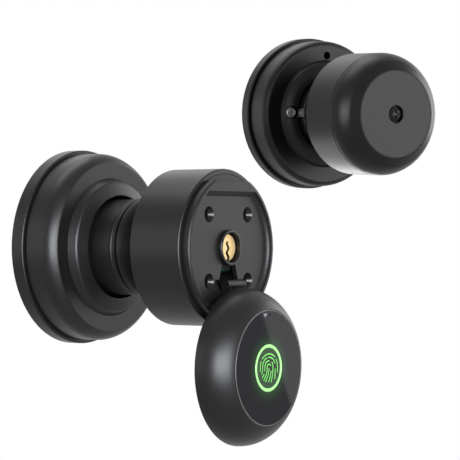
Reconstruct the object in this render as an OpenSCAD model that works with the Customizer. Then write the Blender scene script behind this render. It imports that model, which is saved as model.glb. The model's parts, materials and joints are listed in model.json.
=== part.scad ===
// Fingerprint door-knob lock: an exterior half with a swing-down sensor cover over a key cylinder, and an
// interior half with a battery compartment. The halves stand apart, as before they are fitted to a door.
//
// Each half is drawn about its own knob axis: x to the right, y up and z the distance in front of the door.
// Turned profiles are drawn with x as the radius and y as that distance.

/* [Rose] */
// Radius of the base ring that lies against the door
base_ring_r = 38; // [36:0.5:44]
// Height of the base ring in front of the door
base_ring_h = 5.4; // [4.6:0.2:7]
// How far the rose side stands in from the base ring
rose_step = 1.5; // [1.2:0.1:2]
// Width of the dark groove between the base ring and the rose
rose_groove = 0.5; // [0.3:0.1:1]
// Height of the straight rose side above the groove
rose_side_h = 9.6; // [7:0.2:14]
// Radius of the rounded outer corner of the rose
rose_bead = 3.5; // [2.5:0.1:4]
// Height of the raised inner ridge above the bead
rose_ridge_h = 3.7; // [2.8:0.1:5]
// Radius of the raised inner ridge
rose_ridge_r = 27.1; // [26:0.1:28]
// Wall of the rose, the bell and the battery cap
shell_wall = 1.8; // [1.5:0.1:2.2]
// Thickness of the steel mounting plates
plate_t = 2; // [1.5:0.1:3]

/* [Knob] */
// Radius of the neck behind the knob
neck_r = 18.5; // [18:0.1:19]
// Wall of the neck sleeve
neck_wall = 2.5; // [2.2:0.1:2.8]
// Radius of the knob barrel
knob_r = 29.7; // [29:0.1:32]
// Wall of the knob barrel
barrel_wall = 1.9; // [1.6:0.1:2.4]
// Length of the flared bell between neck and barrel
bell_len = 14.6; // [13:0.1:17]
// Distance from the door face to the exterior barrel
ext_barrel_back = 50; // [48:0.5:56]
// Length of the exterior barrel
ext_barrel_len = 23.2; // [22:0.2:30]
// Distance from the door face to the interior barrel
int_barrel_back = 43.8; // [42:0.2:50]
// Length of the interior barrel
int_barrel_len = 21.4; // [21:0.2:26]
// Turned-back bevel on the barrel's rear edge
barrel_bevel = 0.8; // [0.4:0.1:1.2]

/* [Key recess] */
// How far the spigot stands in front of the barrel
spigot_h = 3.3; // [2.8:0.1:4]
// Step from the barrel radius in to the spigot
spigot_step = 2; // [1.9:0.1:2.6]
// Depth of the D-shaped recess in the spigot
recess_d = 1.9; // [1.4:0.1:2.3]
// Width of the lip round the recess
lip_w = 1.75; // [1.4:0.05:2.2]
// Thickness of the recess floor
floor_t = 1.8; // [1.4:0.1:2.2]
// Height of the chord that cuts the top of the spigot
spigot_chord = 25; // [24:0.2:26]
// Height of the chord that ends the recess
recess_chord = 21.2; // [20:0.2:22]
// Half the spacing of the four countersunk holes
screw_half = 12.5; // [11.8:0.1:13.4]
// Radius of a countersink at the floor
countersink_r = 3; // [2.6:0.1:3.4]
// Outer radius of the key collar
collar_r = 6.8; // [6.6:0.1:7.4]
// How far the key collar stands in front of the floor
collar_h = 1.5; // [1:0.1:1.9]
// Radius of the brass key plug
plug_r = 5.05; // [4.6:0.05:5.2]

/* [Cover] */
// Depth of the cover's dome from its rim to its face
cover_depth = 12.7; // [12:0.1:15]
// Radius of the cover's flat face
cover_face_r = 21.8; // [20.5:0.1:23]
// Distance between the two pivots of the hinge link
link_len = 22.8; // [22:0.1:24]
// Angle through which the cover swings open
swing = 162.5; // [150:0.5:164]
// Depth of the link's lower pivot below the knob axis
pivot_drop = 13.8; // [13.4:0.1:14.4]
// Radius of the hinge knuckles
knuckle_r = 1.9; // [1.7:0.05:1.95]
// Outer radius of the glowing ring
glow_r = 8.8; // [8:0.1:10]
// Width of the glowing ring
glow_w = 1.4; // [1:0.1:2]

/* [Interior half] */
// Depth of the battery cap's dome
cap_depth = 12.4; // [12:0.1:14]
// Radius of the battery cap's flat face
cap_face_r = 20.9; // [19:0.1:22]
// Radius of the recess for the cap screw
cap_recess_r = 4.05; // [3.9:0.05:4.6]
// Distance from the knob axis to each mounting screw
mount_r = 22.5; // [22.2:0.1:22.8]
// Radius of the service hole in the interior rose
service_r = 2; // [1.5:0.1:2.4]
// Distance from the knob axis to the service hole
service_at = 29.2; // [28.8:0.1:29.8]
// Side of the square spindle
spindle_w = 8; // [6:0.5:8.5]
// How far the spindle reaches behind the interior door face
spindle_out = 48; // [30:1:60]

/* [Placement] */
// Interior half: shift to the right of the exterior half
int_x = 258; // [120:1:400]
// Interior half: shift backwards
int_y = 60.4; // [0:0.2:120]
// Interior half: shift upwards
int_z = 66; // [0:0.2:120]
// Interior half: turn about the vertical
int_turn = 22.2; // [0:0.1:45]
// Interior half: downward lean of its knob
int_lean = 2.8; // [0:0.1:10]

/* [Hidden] */
$fn = 96;

// Clearances: a part that runs in another, a part that is fitted fast in another, and a visible seam
run_gap = 0.08;
fit_gap = 0.05;
seam = 0.2;
// Overlap used only to cut or join cleanly
e = 0.01;

// Finishes
satin_black = [0.06, 0.06, 0.065];
gloss_black = [0.02, 0.02, 0.025];
dark_plastic = [0.1, 0.1, 0.11];
steel = [0.62, 0.63, 0.65];
brass = [0.77, 0.65, 0.46];
board_green = [0.07, 0.25, 0.14];
glow_green = [0.5, 0.9, 0.4];
cell_grey = [0.35, 0.37, 0.4];

// Rose and mounting plate
seat_lip = 0.9;
ring_lip_w = 5;
rose_r = base_ring_r - rose_step;
rose_seat_r = rose_r - 0.9;
rose_back = base_ring_h + rose_groove;
side_top = rose_back + rose_side_h;
crest_r = rose_r - rose_bead;
crest_h = side_top + rose_bead;
crest_inner = 1.1;
valley_h = crest_h - 0.8;
ridge_h = crest_h + rose_ridge_h;
ridge_round = 1.4;
// Radius of the cove, which runs from the bead's foot to the side of the ridge
cove_w = crest_r - crest_inner - rose_ridge_r;
cove_rise = ridge_h - ridge_round - valley_h;
cove_r = (cove_w * cove_w + cove_rise * cove_rise) / (2 * cove_rise);
rose_h = ridge_h + 0.7;
neck_gap = 1.4;
rose_hole_r = neck_r + neck_gap;
plate_back = seat_lip;
plate_top = plate_back + plate_t;

// Hub, neck and bell
bore_r = neck_r - neck_wall;
hub_r = bore_r - run_gap;
hub_len = 11.1;
hub_top = plate_top + hub_len;
nose_r = hub_r - 2.4;
nose_top = hub_top + 6;
hub_bore = nose_r - 1.5;
flange_t = 2;
flange_back = hub_top + 0.1;
clip_back = flange_back + flange_t + 0.1;
clip_t = 1.1;
clip_groove_r = nose_r - 0.6;
neck_back = plate_top + 1.1;
groove_w = 1;
bell_groove_r = neck_r - 0.7;
bell_r0 = neck_r + 0.4;
bell_edge_r = knob_r - barrel_bevel;
bell_flare = bell_edge_r - bell_r0;
bell_arc = (bell_len * bell_len + bell_flare * bell_flare) / (2 * bell_flare);
tail_len = 6.4;
tail_r = bore_r - fit_gap;
tail_wall = 1.95;
bell_floor_at = 1.1;
bell_floor_t = 2;
bell_spigot = 4;
barrel_in = knob_r - barrel_wall;
spigot_wall = 1.8;

// Exterior front
ext_front = ext_barrel_back + ext_barrel_len;
lip_a = ext_front + spigot_h;
floor_a = lip_a - recess_d;
floor_back = floor_a - floor_t;
spigot_r = knob_r - spigot_step;
recess_lip_r = spigot_r - lip_w;
recess_floor_r = recess_lip_r - recess_d;
plate_body_r = barrel_in - fit_gap - 0.05;
plate_skirt = 2.8;
clamp_lip = 1.1;
post_r = 3.2;
screw_head_r = 1.5;
screw_r = 0.85;
board_t = 1.6;
board_r = barrel_in - 2.3;
plate_screw_grip = 7;
board_a = ext_barrel_back + 7;
screw_seat = board_a + board_t + 3.4;
land_line_x = 11;
land_line_w = 0.15;
slot_top = [3.6, -4.5];
slot_neck = [6.1, -11.9];
slot_barb = [8.8, -11.9];
slot_foot = [6.1, -15.3];

// Lock cylinder
collar_a = floor_a + collar_h;
collar_in = plug_r + 0.6;
cylinder_r = plug_r + 3.15;
cylinder_back = board_a - 2;
tower_w = 8;
tower_h = 15;
plug_face = floor_a - 0.4;
plug_back = cylinder_back - 1.2;
tail_w = 5;
tail_t = 2;

// Clutch
pin_r = 1.5;
pin_at = hub_bore - pin_r - 1;
drive_front = nose_top - 1;
pin_back = drive_front - 2.5;
clutch_travel = 3;
socket_d = 10;
housing_back = nose_top + 0.3;
ext_neck_front = ext_barrel_back - bell_len - groove_w;
housing_front = ext_neck_front - tail_len - 0.1;
pin_head_a = housing_front + 1.5;
motor_r = pin_at - tail_w / 2 - 2.1;
motor_cup = 4;

// Hinge and cover
closed_rim = ext_front + seam;
pivot_a = floor_a + 2.3;
pivot_y = -pivot_drop;
pivot_back = pivot_a - closed_rim;
link_half = 4.1;
ear_in = link_half + 0.15;
ear_out = ear_in + 1.35;
link_end = 4.4;
link_back = -0.3;
link_front = 1.6;
hinge_pin_r = 1;
bracket_t = 1;
bracket_top = -16.2;
bracket_foot = -21.5;
hinge_screw_at = [2.2, -19];
cover_y = link_len * (cos(swing) - 1);
cover_a = closed_rim + link_len * sin(swing);
cover_pivot_y = pivot_y + link_len;
skirt_gap = 0.35;
skirt_in = spigot_r + skirt_gap;
skirt_depth = spigot_h + 0.4;
cover_drop = knob_r - cover_face_r;
cover_arc = (cover_depth * cover_depth + cover_drop * cover_drop) / (2 * cover_drop);
cover_arc_r = knob_r - cover_arc;
back_at = 6.6;
back_t = 1.2;
lens_t = 1.2;
lens_seat = cover_depth - lens_t;
bezel_r = cover_face_r - 0.2;
bezel_w = 0.4;
lens_r = bezel_r - bezel_w - fit_gap;
lens_ledge_w = 1.8;
ledge_t = 0.8;
board_at = 9.6;
sensor_board_t = 1;
sensor_board_r = 17;
board_post_at = 13;
connector_w = 8.5;
cover_boss_at = 21.2;
cover_boss_r = 1.9;
pinhole_at = [0.6, 19.8];
glow_in = glow_r - glow_w;

// Interior half
int_front = int_barrel_back + int_barrel_len;
int_neck_front = int_barrel_back - bell_len - groove_w;
cap_back = int_front + seam;
cap_drop = knob_r - cap_face_r;
cap_arc = (cap_depth * cap_depth + cap_drop * cap_drop) / (2 * cap_drop);
cap_arc_r = knob_r - cap_arc;
cap_face = cap_back + cap_depth;
cap_skirt = 4;
cap_skirt_r = barrel_in - run_gap;
cap_recess_d = 1.6;
mount_screw_r = 1.5;
mount_head_r = 2.75;
mount_head_h = 2;
mount_hole_r = mount_screw_r + 0.25;
mount_tap_r = mount_screw_r - 0.25;
mount_boss_r = 3.5;
// The shank above the rolled thread is as thick as the thread's pitch diameter
mount_shank_r = mount_screw_r - 0.2;
thread_end = -0.5;
pocket_r = 3.2;
pocket_a = ridge_h - mount_head_h - 1.2;
pocket_back = valley_h - shell_wall - 0.2;
post_out = 10;
screw_out = 14;
sleeve_r = mount_r - neck_r - 0.4;
window_back = 20.5;
window_front = int_neck_front - 1.2;
window_half = 2.7;
catch_travel = 0.9;
catch_in = tail_r - 0.95;
catch_out = neck_r - 0.2;
lip_at = int_barrel_back + bell_spigot + 0.1;
tray_back = lip_at + clamp_lip + 0.1;
tray_t = 1.2;
tray_r = barrel_in - 1.8;
// The four cells fill the barrel, so their size follows its inside radius
cell_len = 1.6 * barrel_in;
cell_r = cell_len * 0.118;
cell_y = cell_r + 2.35;
cell_gap = 0.15;
cell_a = [tray_back + tray_t + 0.2 + cell_r, tray_back + tray_t + 0.5 + 3 * cell_r];
tray_front = cell_a[1] + cell_r - 0.4;
tray_screw_y = tray_r - 7;
tray_boss_r = 2.6;
cap_screw_grip = 8;
cap_screw_r = 1.25;

// Places a drawing about the knob axis on the exterior half: its z becomes the row's -Y
module exterior() {
    rotate([90, 0, 0]) children();
}

// Places a drawing about the knob axis on the interior half
module interior() {
    translate([int_x, int_y, int_z]) rotate([0, 0, -int_turn]) rotate([90 + int_lean, 0, 0]) children();
}

// Places a drawing about the cover's own axis, z from its rim forwards, where the open cover hangs
module on_cover() {
    exterior() translate([0, cover_y, cover_a]) children();
}

// Solid disc or ring between two distances from the door face
module disc(r, back, front) {
    translate([0, 0, back]) cylinder(r = r, h = front - back);
}

module ring(r_in, r_out, back, front) {
    difference() {
        disc(r_out, back, front);
        disc(r_in, back - 1, front + 1);
    }
}

// Cross-section of a bar from r_in to r_out with its outer front corner rounded and its back one bevelled
module bar_section(r_in, r_out, back, front, round_r = 0, bevel = 0) {
    difference() {
        translate([r_in, back]) square([r_out - r_in, front - back]);
        if (round_r > 0)
            translate([r_out - round_r, front - round_r]) difference() {
                square(round_r + 1);
                circle(round_r);
            }
        if (bevel > 0)
            polygon([[r_out - bevel, back], [r_out + 1, back - 1], [r_out + 1, back + bevel + 1],
                     [r_out, back + bevel]]);
    }
}

module turned_bar(r_in, r_out, back, front, round_r = 0, bevel = 0) {
    rotate_extrude() bar_section(r_in, r_out, back, front, round_r, bevel);
}

// Prism whose outline is drawn in y (up) and z (forwards), centred across x
module cross_prism(half) {
    translate([-half, 0, 0]) rotate([90, 0, 90]) linear_extrude(2 * half) children();
}

// Copies at the four screw places of the front plate
module at_plate_screws() {
    for (sx = [-1, 1], sy = [-1, 1])
        translate([sx * screw_half, sy * screw_half, 0]) children();
}

// Copies at the two mounting places, left and right of the axis
module at_mounts() {
    for (s = [-1, 1])
        translate([s * mount_r, 0, 0]) children();
}

// ---------- roses and mounting plates ----------

module base_ring() {
    rotate_extrude() {
        bar_section(rose_seat_r + 0.1, base_ring_r, 0, base_ring_h, 0.6);
        translate([base_ring_r - ring_lip_w, 0]) square([ring_lip_w - 1, seat_lip]);
    }
}

// Outside form of the rose: straight side, rounded bead, concave cove and raised ridge round the neck
module rose_outside() {
    translate([rose_hole_r, rose_back]) square([rose_r - rose_hole_r, side_top - rose_back]);
    translate([rose_hole_r, rose_back]) square([crest_r - rose_hole_r, valley_h - rose_back]);
    translate([crest_r, side_top]) circle(rose_bead);
    translate([crest_r, crest_h - crest_inner]) circle(crest_inner);
    translate([crest_r - crest_inner, rose_back]) square([crest_inner, crest_h - crest_inner - rose_back]);
    polygon([[rose_hole_r, rose_back], [rose_ridge_r, rose_back], [rose_ridge_r, ridge_h - ridge_round],
             [rose_ridge_r - ridge_round, ridge_h], [rose_hole_r, rose_h]]);
    translate([rose_ridge_r - ridge_round, ridge_h - ridge_round]) circle(ridge_round);
    difference() {
        translate([rose_ridge_r - 0.1, valley_h - 1])
            square([crest_r - crest_inner - rose_ridge_r, ridge_h - ridge_round - valley_h + 1]);
        translate([crest_r - crest_inner, valley_h + cove_r]) circle(cove_r);
    }
}

module rose_hollow() {
    translate([-1, -1]) square([rose_r - shell_wall + 1, side_top - 0.5 + 1]);
    translate([-1, -1]) square([crest_r - 0.2 + 1, valley_h - shell_wall + 1]);
    translate([-1, -1]) square([rose_ridge_r - shell_wall + 1, ridge_h - shell_wall + 1]);
}

module rose() {
    rotate_extrude() {
        difference() {
            rose_outside();
            rose_hollow();
        }
        translate([rose_r - shell_wall - 0.7, plate_top]) square([rose_seat_r - rose_r + shell_wall + 0.7,
                                                                  rose_back - plate_top + 1]);
    }
}

// Steel plate with the hub tube on which the neck turns
module mount_plate() {
    ring(hub_bore, rose_seat_r, plate_back, plate_top);
    rotate_extrude() {
        translate([hub_bore, plate_back]) square([hub_r - hub_bore, hub_top - plate_back]);
        difference() {
            translate([hub_bore, hub_top - 1]) square([nose_r - hub_bore, nose_top - hub_top + 1]);
            translate([clip_groove_r, clip_back]) square([nose_r, clip_t]);
        }
    }
}

// Split ring in the hub's groove, which keeps the neck on the hub
module retaining_ring() {
    difference() {
        ring(clip_groove_r + fit_gap, hub_r - 0.3, clip_back + e, clip_back + clip_t - e);
        translate([-1.5, 0, clip_back - 1]) cube([3, hub_r + 1, clip_t + 2]);
    }
}

module ext_base_ring() {
    color(satin_black) exterior() base_ring();
}

module ext_rose() {
    color(satin_black) exterior() rose();
}

module ext_mount_plate() {
    color(steel) exterior() difference() {
        union() {
            mount_plate();
            at_mounts() disc(mount_boss_r, -post_out, plate_top - 0.1);
        }
        at_mounts() disc(mount_tap_r, -post_out - 1, plate_top + 1);
        disc(hub_bore, -1, hub_top);
    }
}

module ext_retaining_ring() {
    color(steel) exterior() retaining_ring();
}

// Round wire swept along a close helix: ring i of the sweep lies at angle a_i, height z_i
spring_turns = 3;
spring_pitch = 1.6;
spring_wire_r = 0.65;
spring_rings = 66;
spring_sides = 8;
spring_r = neck_r + 3;
spring_z = plate_top + 0.2 + spring_wire_r;
spring_points = [
    for (i = [0:spring_rings], k = [0:spring_sides - 1])
        let (turn = 360 * spring_turns * i / spring_rings, side = 360 * k / spring_sides,
             r = spring_r + spring_wire_r * cos(side))
            [r * cos(turn), r * sin(turn),
             spring_z + spring_pitch * turn / 360 + spring_wire_r * sin(side)]
];
spring_faces = concat(
    [[for (k = [0:spring_sides - 1]) k]],
    [[for (k = [spring_sides - 1:-1:0]) spring_rings * spring_sides + k]],
    [for (i = [0:spring_rings - 1], k = [0:spring_sides - 1])
        let (n = (k + 1) % spring_sides, base = i * spring_sides)
            [base + k, base + spring_sides + k, base + spring_sides + n, base + n]]
);

module ext_return_spring() {
    color(steel) exterior() polyhedron(points = spring_points, faces = spring_faces, convexity = 6);
}

// ---------- knob shells ----------

// Sleeve that turns on the hub, with the inner flange that the retaining ring holds
module neck(front) {
    rotate_extrude() {
        translate([bore_r, neck_back]) square([neck_wall, front - neck_back]);
        translate([nose_r + run_gap, flange_back]) square([bore_r - nose_r, flange_t]);
        translate([neck_r - 0.5, front - 2]) circle(0.8, $fn = 32);
    }
}

// Distance in front of the bell's start at which its flare covers a radius
function flare_at(radius) = sqrt(max(0, pow(bell_arc, 2) - pow(bell_r0 + bell_arc - radius, 2)));

// Flared back of the knob: tail in the neck, groove, trumpet flare, floor and the spigot that takes the barrel
module bell(front) {
    start = front - bell_len;
    neck_front = start - groove_w;
    floor_back_a = start + bell_floor_at;
    centre_r = bell_r0 + bell_arc;
    rotate_extrude() {
        translate([tail_r - tail_wall, neck_front - tail_len]) square([tail_wall, tail_len + 1]);
        difference() {
            union() {
                translate([0, neck_front]) square([bell_groove_r, groove_w + 1]);
                difference() {
                    translate([0, start]) square([bell_edge_r, bell_len]);
                    translate([centre_r, start]) circle(bell_arc, $fn = 180);
                }
            }
            translate([-1, neck_front - 1]) square([tail_r - tail_wall + 1, floor_back_a - neck_front + 1]);
            difference() {
                translate([-1, floor_back_a + bell_floor_t])
                    square([bell_edge_r, bell_len]);
                translate([centre_r, start]) circle(bell_arc + shell_wall, $fn = 180);
            }
        }
        bar_section(barrel_in - fit_gap - spigot_wall, barrel_in - fit_gap, front - 1.2, front + bell_spigot);
    }
}

module ext_neck() {
    color(satin_black) exterior() neck(ext_neck_front);
}

module ext_bell() {
    start = ext_barrel_back - bell_len;
    floor_mid = start + bell_floor_at;
    post_back = start + max(flare_at(screw_half * sqrt(2) + post_r) + seam, bell_floor_at + bell_floor_t / 2);
    color(satin_black) exterior() difference() {
        union() {
            bell(ext_barrel_back);
            at_plate_screws() disc(post_r, post_back, board_a);
            translate([0, pin_at, 0]) disc(motor_r + 1.4, floor_mid, floor_mid + bell_floor_t + motor_cup);
        }
        at_plate_screws() disc(screw_r + fit_gap, board_a - plate_screw_grip, board_a + 1);
        disc(tail_w / 2 + 1.2, floor_mid - 1, floor_mid + bell_floor_t + motor_cup + 1);
        translate([0, pin_at, 0]) disc(1.6, floor_mid - 1, floor_mid + bell_floor_t + 1);
        translate([0, pin_at, floor_mid + bell_floor_t]) disc(motor_r + fit_gap, 0, motor_cup + 1);
    }
}

module ext_barrel() {
    lip_back = ext_front - plate_skirt - clamp_lip - fit_gap;
    color(satin_black) exterior() rotate_extrude() {
        bar_section(barrel_in, knob_r, ext_barrel_back, ext_front, 0.7, barrel_bevel);
        translate([barrel_in - 1.4, lip_back]) square([1.9, clamp_lip]);
    }
}

// ---------- key recess ----------

module front_plate_section() {
    bar_section(spigot_r - 2.1, plate_body_r, ext_front - plate_skirt, ext_front);
    bar_section(recess_lip_r, spigot_r, ext_front - 1, lip_a, 1);
    translate([0, floor_back]) square([spigot_r - 1, floor_t]);
    difference() {
        translate([recess_floor_r, floor_a - 0.2]) square([recess_d + 0.2, recess_d + 0.2]);
        translate([recess_floor_r, lip_a]) circle(recess_d);
    }
}

// Land that fills the top of the spigot, with the sloping wall that ends the recess
module top_land() {
    intersection() {
        disc(recess_lip_r + 0.2, floor_back, lip_a);
        cross_prism(knob_r) polygon([
            [recess_chord - recess_d, floor_a - 0.2], [recess_chord - recess_d, floor_a],
            [recess_chord, lip_a], [knob_r, lip_a], [knob_r, floor_a - 0.2]
        ]);
    }
}

module slot_outline() {
    polygon([[-slot_top.x, slot_top.y], [-slot_neck.x, slot_neck.y], [-slot_barb.x, slot_barb.y],
             [-slot_foot.x, slot_foot.y], slot_foot, slot_barb, slot_neck, slot_top]);
}

module front_plate() {
    color(satin_black) exterior() difference() {
        union() {
            rotate_extrude() front_plate_section();
            top_land();
            at_plate_screws() disc(post_r, board_a + board_t + e, floor_back + 0.5);
        }
        translate([-knob_r, spigot_chord, ext_front]) cube([2 * knob_r, knob_r, spigot_h + 1]);
        translate([0, 0, floor_back - 1]) linear_extrude(floor_t + 2) slot_outline();
        disc(collar_in + 0.05, floor_back - 1, floor_a + 1);
        at_plate_screws() {
            translate([0, 0, floor_a - 1.75]) cylinder(r1 = screw_head_r + 0.1, r2 = countersink_r, h = 1.75);
            disc(countersink_r, floor_a, floor_a + 1);
            disc(screw_head_r + 0.1, screw_seat, floor_a - 1);
            disc(screw_r + fit_gap, board_a, screw_seat + 1);
        }
        for (s = [-1, 1])
            translate([s * hinge_screw_at.x, hinge_screw_at.y, 0]) disc(0.85, floor_back - 1, floor_a + 1);
        translate([land_line_x, recess_chord, lip_a - land_line_w]) cube([land_line_w, spigot_chord, 1]);
    }
}

// Long small-headed screws, deep in their holes, that pull the front plate to the bell
module plate_screws() {
    color(steel) exterior() at_plate_screws() {
        difference() {
            turned_bar(0, screw_head_r, screw_seat, screw_seat + 1.2, 0.4);
            translate([-0.2, -0.9, screw_seat + 0.7]) cube([0.4, 1.8, 1]);
            translate([-0.9, -0.2, screw_seat + 0.7]) cube([1.8, 0.4, 1]);
        }
        disc(screw_r, board_a - plate_screw_grip + 0.5, screw_seat + 0.2);
    }
}

module key_collar() {
    color(satin_black) exterior() rotate_extrude() {
        difference() {
            bar_section(collar_in, collar_r, floor_a, collar_a, 0.5);
            translate([collar_in - e, collar_a - 0.25]) polygon([[0, 0], [0.25, 0.3], [0, 0.3]]);
        }
    }
}

module cylinder_body() {
    color(dark_plastic) exterior() difference() {
        union() {
            disc(cylinder_r, cylinder_back, floor_back - 0.1);
            disc(collar_in - 0.1, floor_back - 0.2, plug_face - 0.4);
            translate([-tower_w / 2, 0, cylinder_back])
                cube([tower_w, tower_h, floor_back - 0.1 - cylinder_back]);
        }
        disc(plug_r + run_gap, cylinder_back - 1, floor_a);
    }
}

// Wavy keyway that runs out through the lower edge of the plug
module keyway_outline() {
    top = plug_r * 0.46;
    foot = -plug_r - 0.5;
    steps = 24;
    half = [for (i = [0:steps]) 0.72 + 0.2 * i / steps];
    mid = [for (i = [0:steps]) 0.5 * sin(i * 800 / steps + 190)];
    y = [for (i = [0:steps]) top + (foot - top) * i / steps];
    polygon(concat(
        [for (i = [0:steps]) [mid[i] - half[i], y[i]]],
        [for (i = [steps:-1:0]) [mid[i] + half[i], y[i]]]
    ));
}

module key_plug() {
    color(brass) exterior() difference() {
        turned_bar(0, plug_r, plug_back, plug_face, 0.25);
        translate([0, 0, cylinder_back + 1]) linear_extrude(plug_face) keyway_outline();
        ring(plug_r - 0.5, plug_r + 1, plug_back + 0.15, plug_back + 1.1);
    }
}

// Split ring behind the cylinder body that keeps the plug in
module plug_clip() {
    color(steel) exterior() difference() {
        ring(plug_r - 0.5 + fit_gap, plug_r + 1.8, plug_back + 0.2, plug_back + 1.05);
        translate([-1.2, -plug_r - 3, plug_back]) cube([2.4, plug_r + 3, 2]);
    }
}

// Flat bar that the plug turns; it reaches into the drive hub
module key_tail() {
    color(steel) exterior() translate([-tail_w / 2, -tail_t / 2, drive_front - 3])
        cube([tail_w, tail_t, plug_back - drive_front + 3]);
}

// ---------- clutch and board ----------

// Hub that takes the square spindle and that the clutch pin locks to the knob
module drive_hub() {
    color(steel) exterior() difference() {
        turned_bar(0, hub_bore - run_gap, plate_back, drive_front, 0.4);
        translate([-spindle_w / 2 - 0.1, -spindle_w / 2 - 0.1, plate_back - 1])
            cube([spindle_w + 0.2, spindle_w + 0.2, socket_d + 1]);
        disc(tail_w / 2 + 0.9, drive_front - 4, drive_front + 1);
        for (turn = [0:60:300])
            rotate([0, 0, turn]) translate([0, pin_at, 0])
                disc(pin_r + run_gap, pin_back - 0.5, drive_front + 1);
    }
}

module clutch_housing() {
    color(dark_plastic) exterior() difference() {
        disc(bore_r - fit_gap, housing_back, housing_front);
        disc(tail_w / 2 + 1, housing_back - 1, housing_front + 1);
        translate([0, pin_at, 0]) disc(pin_r + run_gap, housing_back - 1, housing_front + 1);
        for (turn = [60:60:300])
            rotate([0, 0, turn]) translate([0, pin_at + 0.6, 0])
                disc(2.6, housing_back + 2, housing_front + 1);
    }
}

module clutch_pin() {
    color(steel) exterior() translate([0, pin_at, 0]) {
        turned_bar(0, pin_r, pin_back, pin_head_a, 0.2);
        disc(pin_r + 1, pin_head_a - 0.4, pin_head_a + 1);
    }
}

module clutch_motor() {
    motor_back = ext_barrel_back - bell_len + bell_floor_at + bell_floor_t;
    motor_front = plug_back - 0.3;
    color(steel) exterior() translate([0, pin_at, 0]) {
        turned_bar(0, motor_r, motor_back, motor_front, 0.6);
        disc(1.2, motor_back - bell_floor_t - 0.4, motor_back + 0.5);
    }
}

// Board behind the front plate, cut away round the lock cylinder and its pin tower
module main_board() {
    chip = 0.27 * board_r;
    color(board_green) exterior() {
        difference() {
            disc(board_r, board_a + e, board_a + board_t);
            disc(cylinder_r + 0.4, board_a - 1, board_a + board_t + 1);
            translate([-tower_w / 2 - 0.4, 0, board_a - 1]) cube([tower_w + 0.8, tower_h + 0.6, board_t + 2]);
            at_plate_screws() disc(screw_r + fit_gap, board_a - 1, board_a + board_t + 1);
        }
        translate([0, 0, board_a + board_t - 0.2]) {
            translate([-0.82 * board_r, -0.5 * chip, 0]) cube(chip * [1, 1, 0.2]);
            translate([0.61 * board_r, -0.5 * chip, 0]) cube(chip * [0.7, 1.4, 0.6]);
            translate([-0.7 * chip, -0.86 * board_r, 0]) cube(chip * [1.4, 0.7, 0.3]);
            translate([0, 0.8 * board_r, 0]) cylinder(r = chip / 2, h = 0.4 * chip);
        }
    }
}

// ---------- hinge ----------

// Ear profile: knuckle round the pivot, widening to a foot
module ear_profile(pivot, foot) {
    difference() {
        union() {
            polygon(foot);
            translate(pivot) circle(knuckle_r, $fn = 48);
        }
        translate(pivot) circle(hinge_pin_r + 0.02, $fn = 48);
    }
}

module at_ears() {
    for (x = [-ear_out, ear_in])
        translate([x, 0, 0]) rotate([90, 0, 90]) linear_extrude(ear_out - ear_in) children();
}

// U-shaped bracket on the recess floor whose ears carry the link's lower pin
module hinge_bracket() {
    color(satin_black) exterior() {
        at_ears() ear_profile([pivot_y, pivot_a], [
            [pivot_y - knuckle_r * 0.1, pivot_a + knuckle_r * 0.995], [bracket_top, pivot_a + knuckle_r * 0.8],
            [bracket_foot + 1.6, floor_a + bracket_t], [bracket_foot + 1.6, floor_a + 0.1],
            [bracket_top, floor_a + 0.1], [pivot_y - knuckle_r * 0.8, pivot_a - knuckle_r * 0.6]
        ]);
        difference() {
            translate([-ear_out, bracket_foot, floor_a + e])
                cube([2 * ear_out, bracket_top - bracket_foot, bracket_t]);
            for (s = [-1, 1])
                translate([s * hinge_screw_at.x, hinge_screw_at.y, floor_a]) {
                    cylinder(r = 0.85, h = 3, $fn = 32);
                    translate([0, 0, bracket_t - 0.6]) cylinder(r1 = 0.85, r2 = 1.5, h = 0.65, $fn = 32);
                }
        }
    }
}

module hinge_screws() {
    color(satin_black) exterior() for (s = [-1, 1])
        translate([s * hinge_screw_at.x, hinge_screw_at.y, floor_a]) {
            translate([0, 0, -3]) cylinder(r = 0.8, h = 3 + bracket_t - 0.5, $fn = 32);
            translate([0, 0, bracket_t - 0.57]) cylinder(r1 = 0.8, r2 = 1.42, h = 0.57, $fn = 32);
        }
}

module hinge_pin_at(y, a) {
    translate([-ear_out + e, y, a]) rotate([0, 90, 0])
        cylinder(r = hinge_pin_r, h = 2 * (ear_out - e), $fn = 48);
}

module plate_hinge_pin() {
    color(satin_black) exterior() hinge_pin_at(pivot_y, pivot_a);
}

module cover_hinge_pin() {
    color(satin_black) on_cover() hinge_pin_at(cover_pivot_y, pivot_back);
}

// Flat arm between two knuckles, y along the arm, z its outer side when the cover is closed
module link_body() {
    waist = link_half - 1;
    difference() {
        union() {
            for (y = [0, link_len])
                translate([-link_half, y, 0]) rotate([0, 90, 0])
                    cylinder(r = knuckle_r, h = 2 * link_half, $fn = 48);
            translate([-link_half, 0, link_back]) cube([2 * link_half, link_end, link_front - link_back]);
            translate([-link_half, link_len - link_end, link_back])
                cube([2 * link_half, link_end, link_front - link_back]);
            translate([-waist, 1, link_back]) cube([2 * waist, link_len - 2, link_front - link_back]);
        }
        for (y = [0, link_len])
            translate([-link_half - 1, y, 0]) rotate([0, 90, 0])
                cylinder(r = hinge_pin_r + run_gap, h = 2 * link_half + 2, $fn = 48);
        translate([-waist + 1, link_end, link_back - 1]) cube([2 * waist - 2, link_len - 2 * link_end, 1.5]);
    }
}

module hinge_link() {
    color(satin_black) exterior() translate([0, pivot_y, pivot_a]) rotate([swing, 0, 0]) link_body();
}

// ---------- sensor cover ----------

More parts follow.
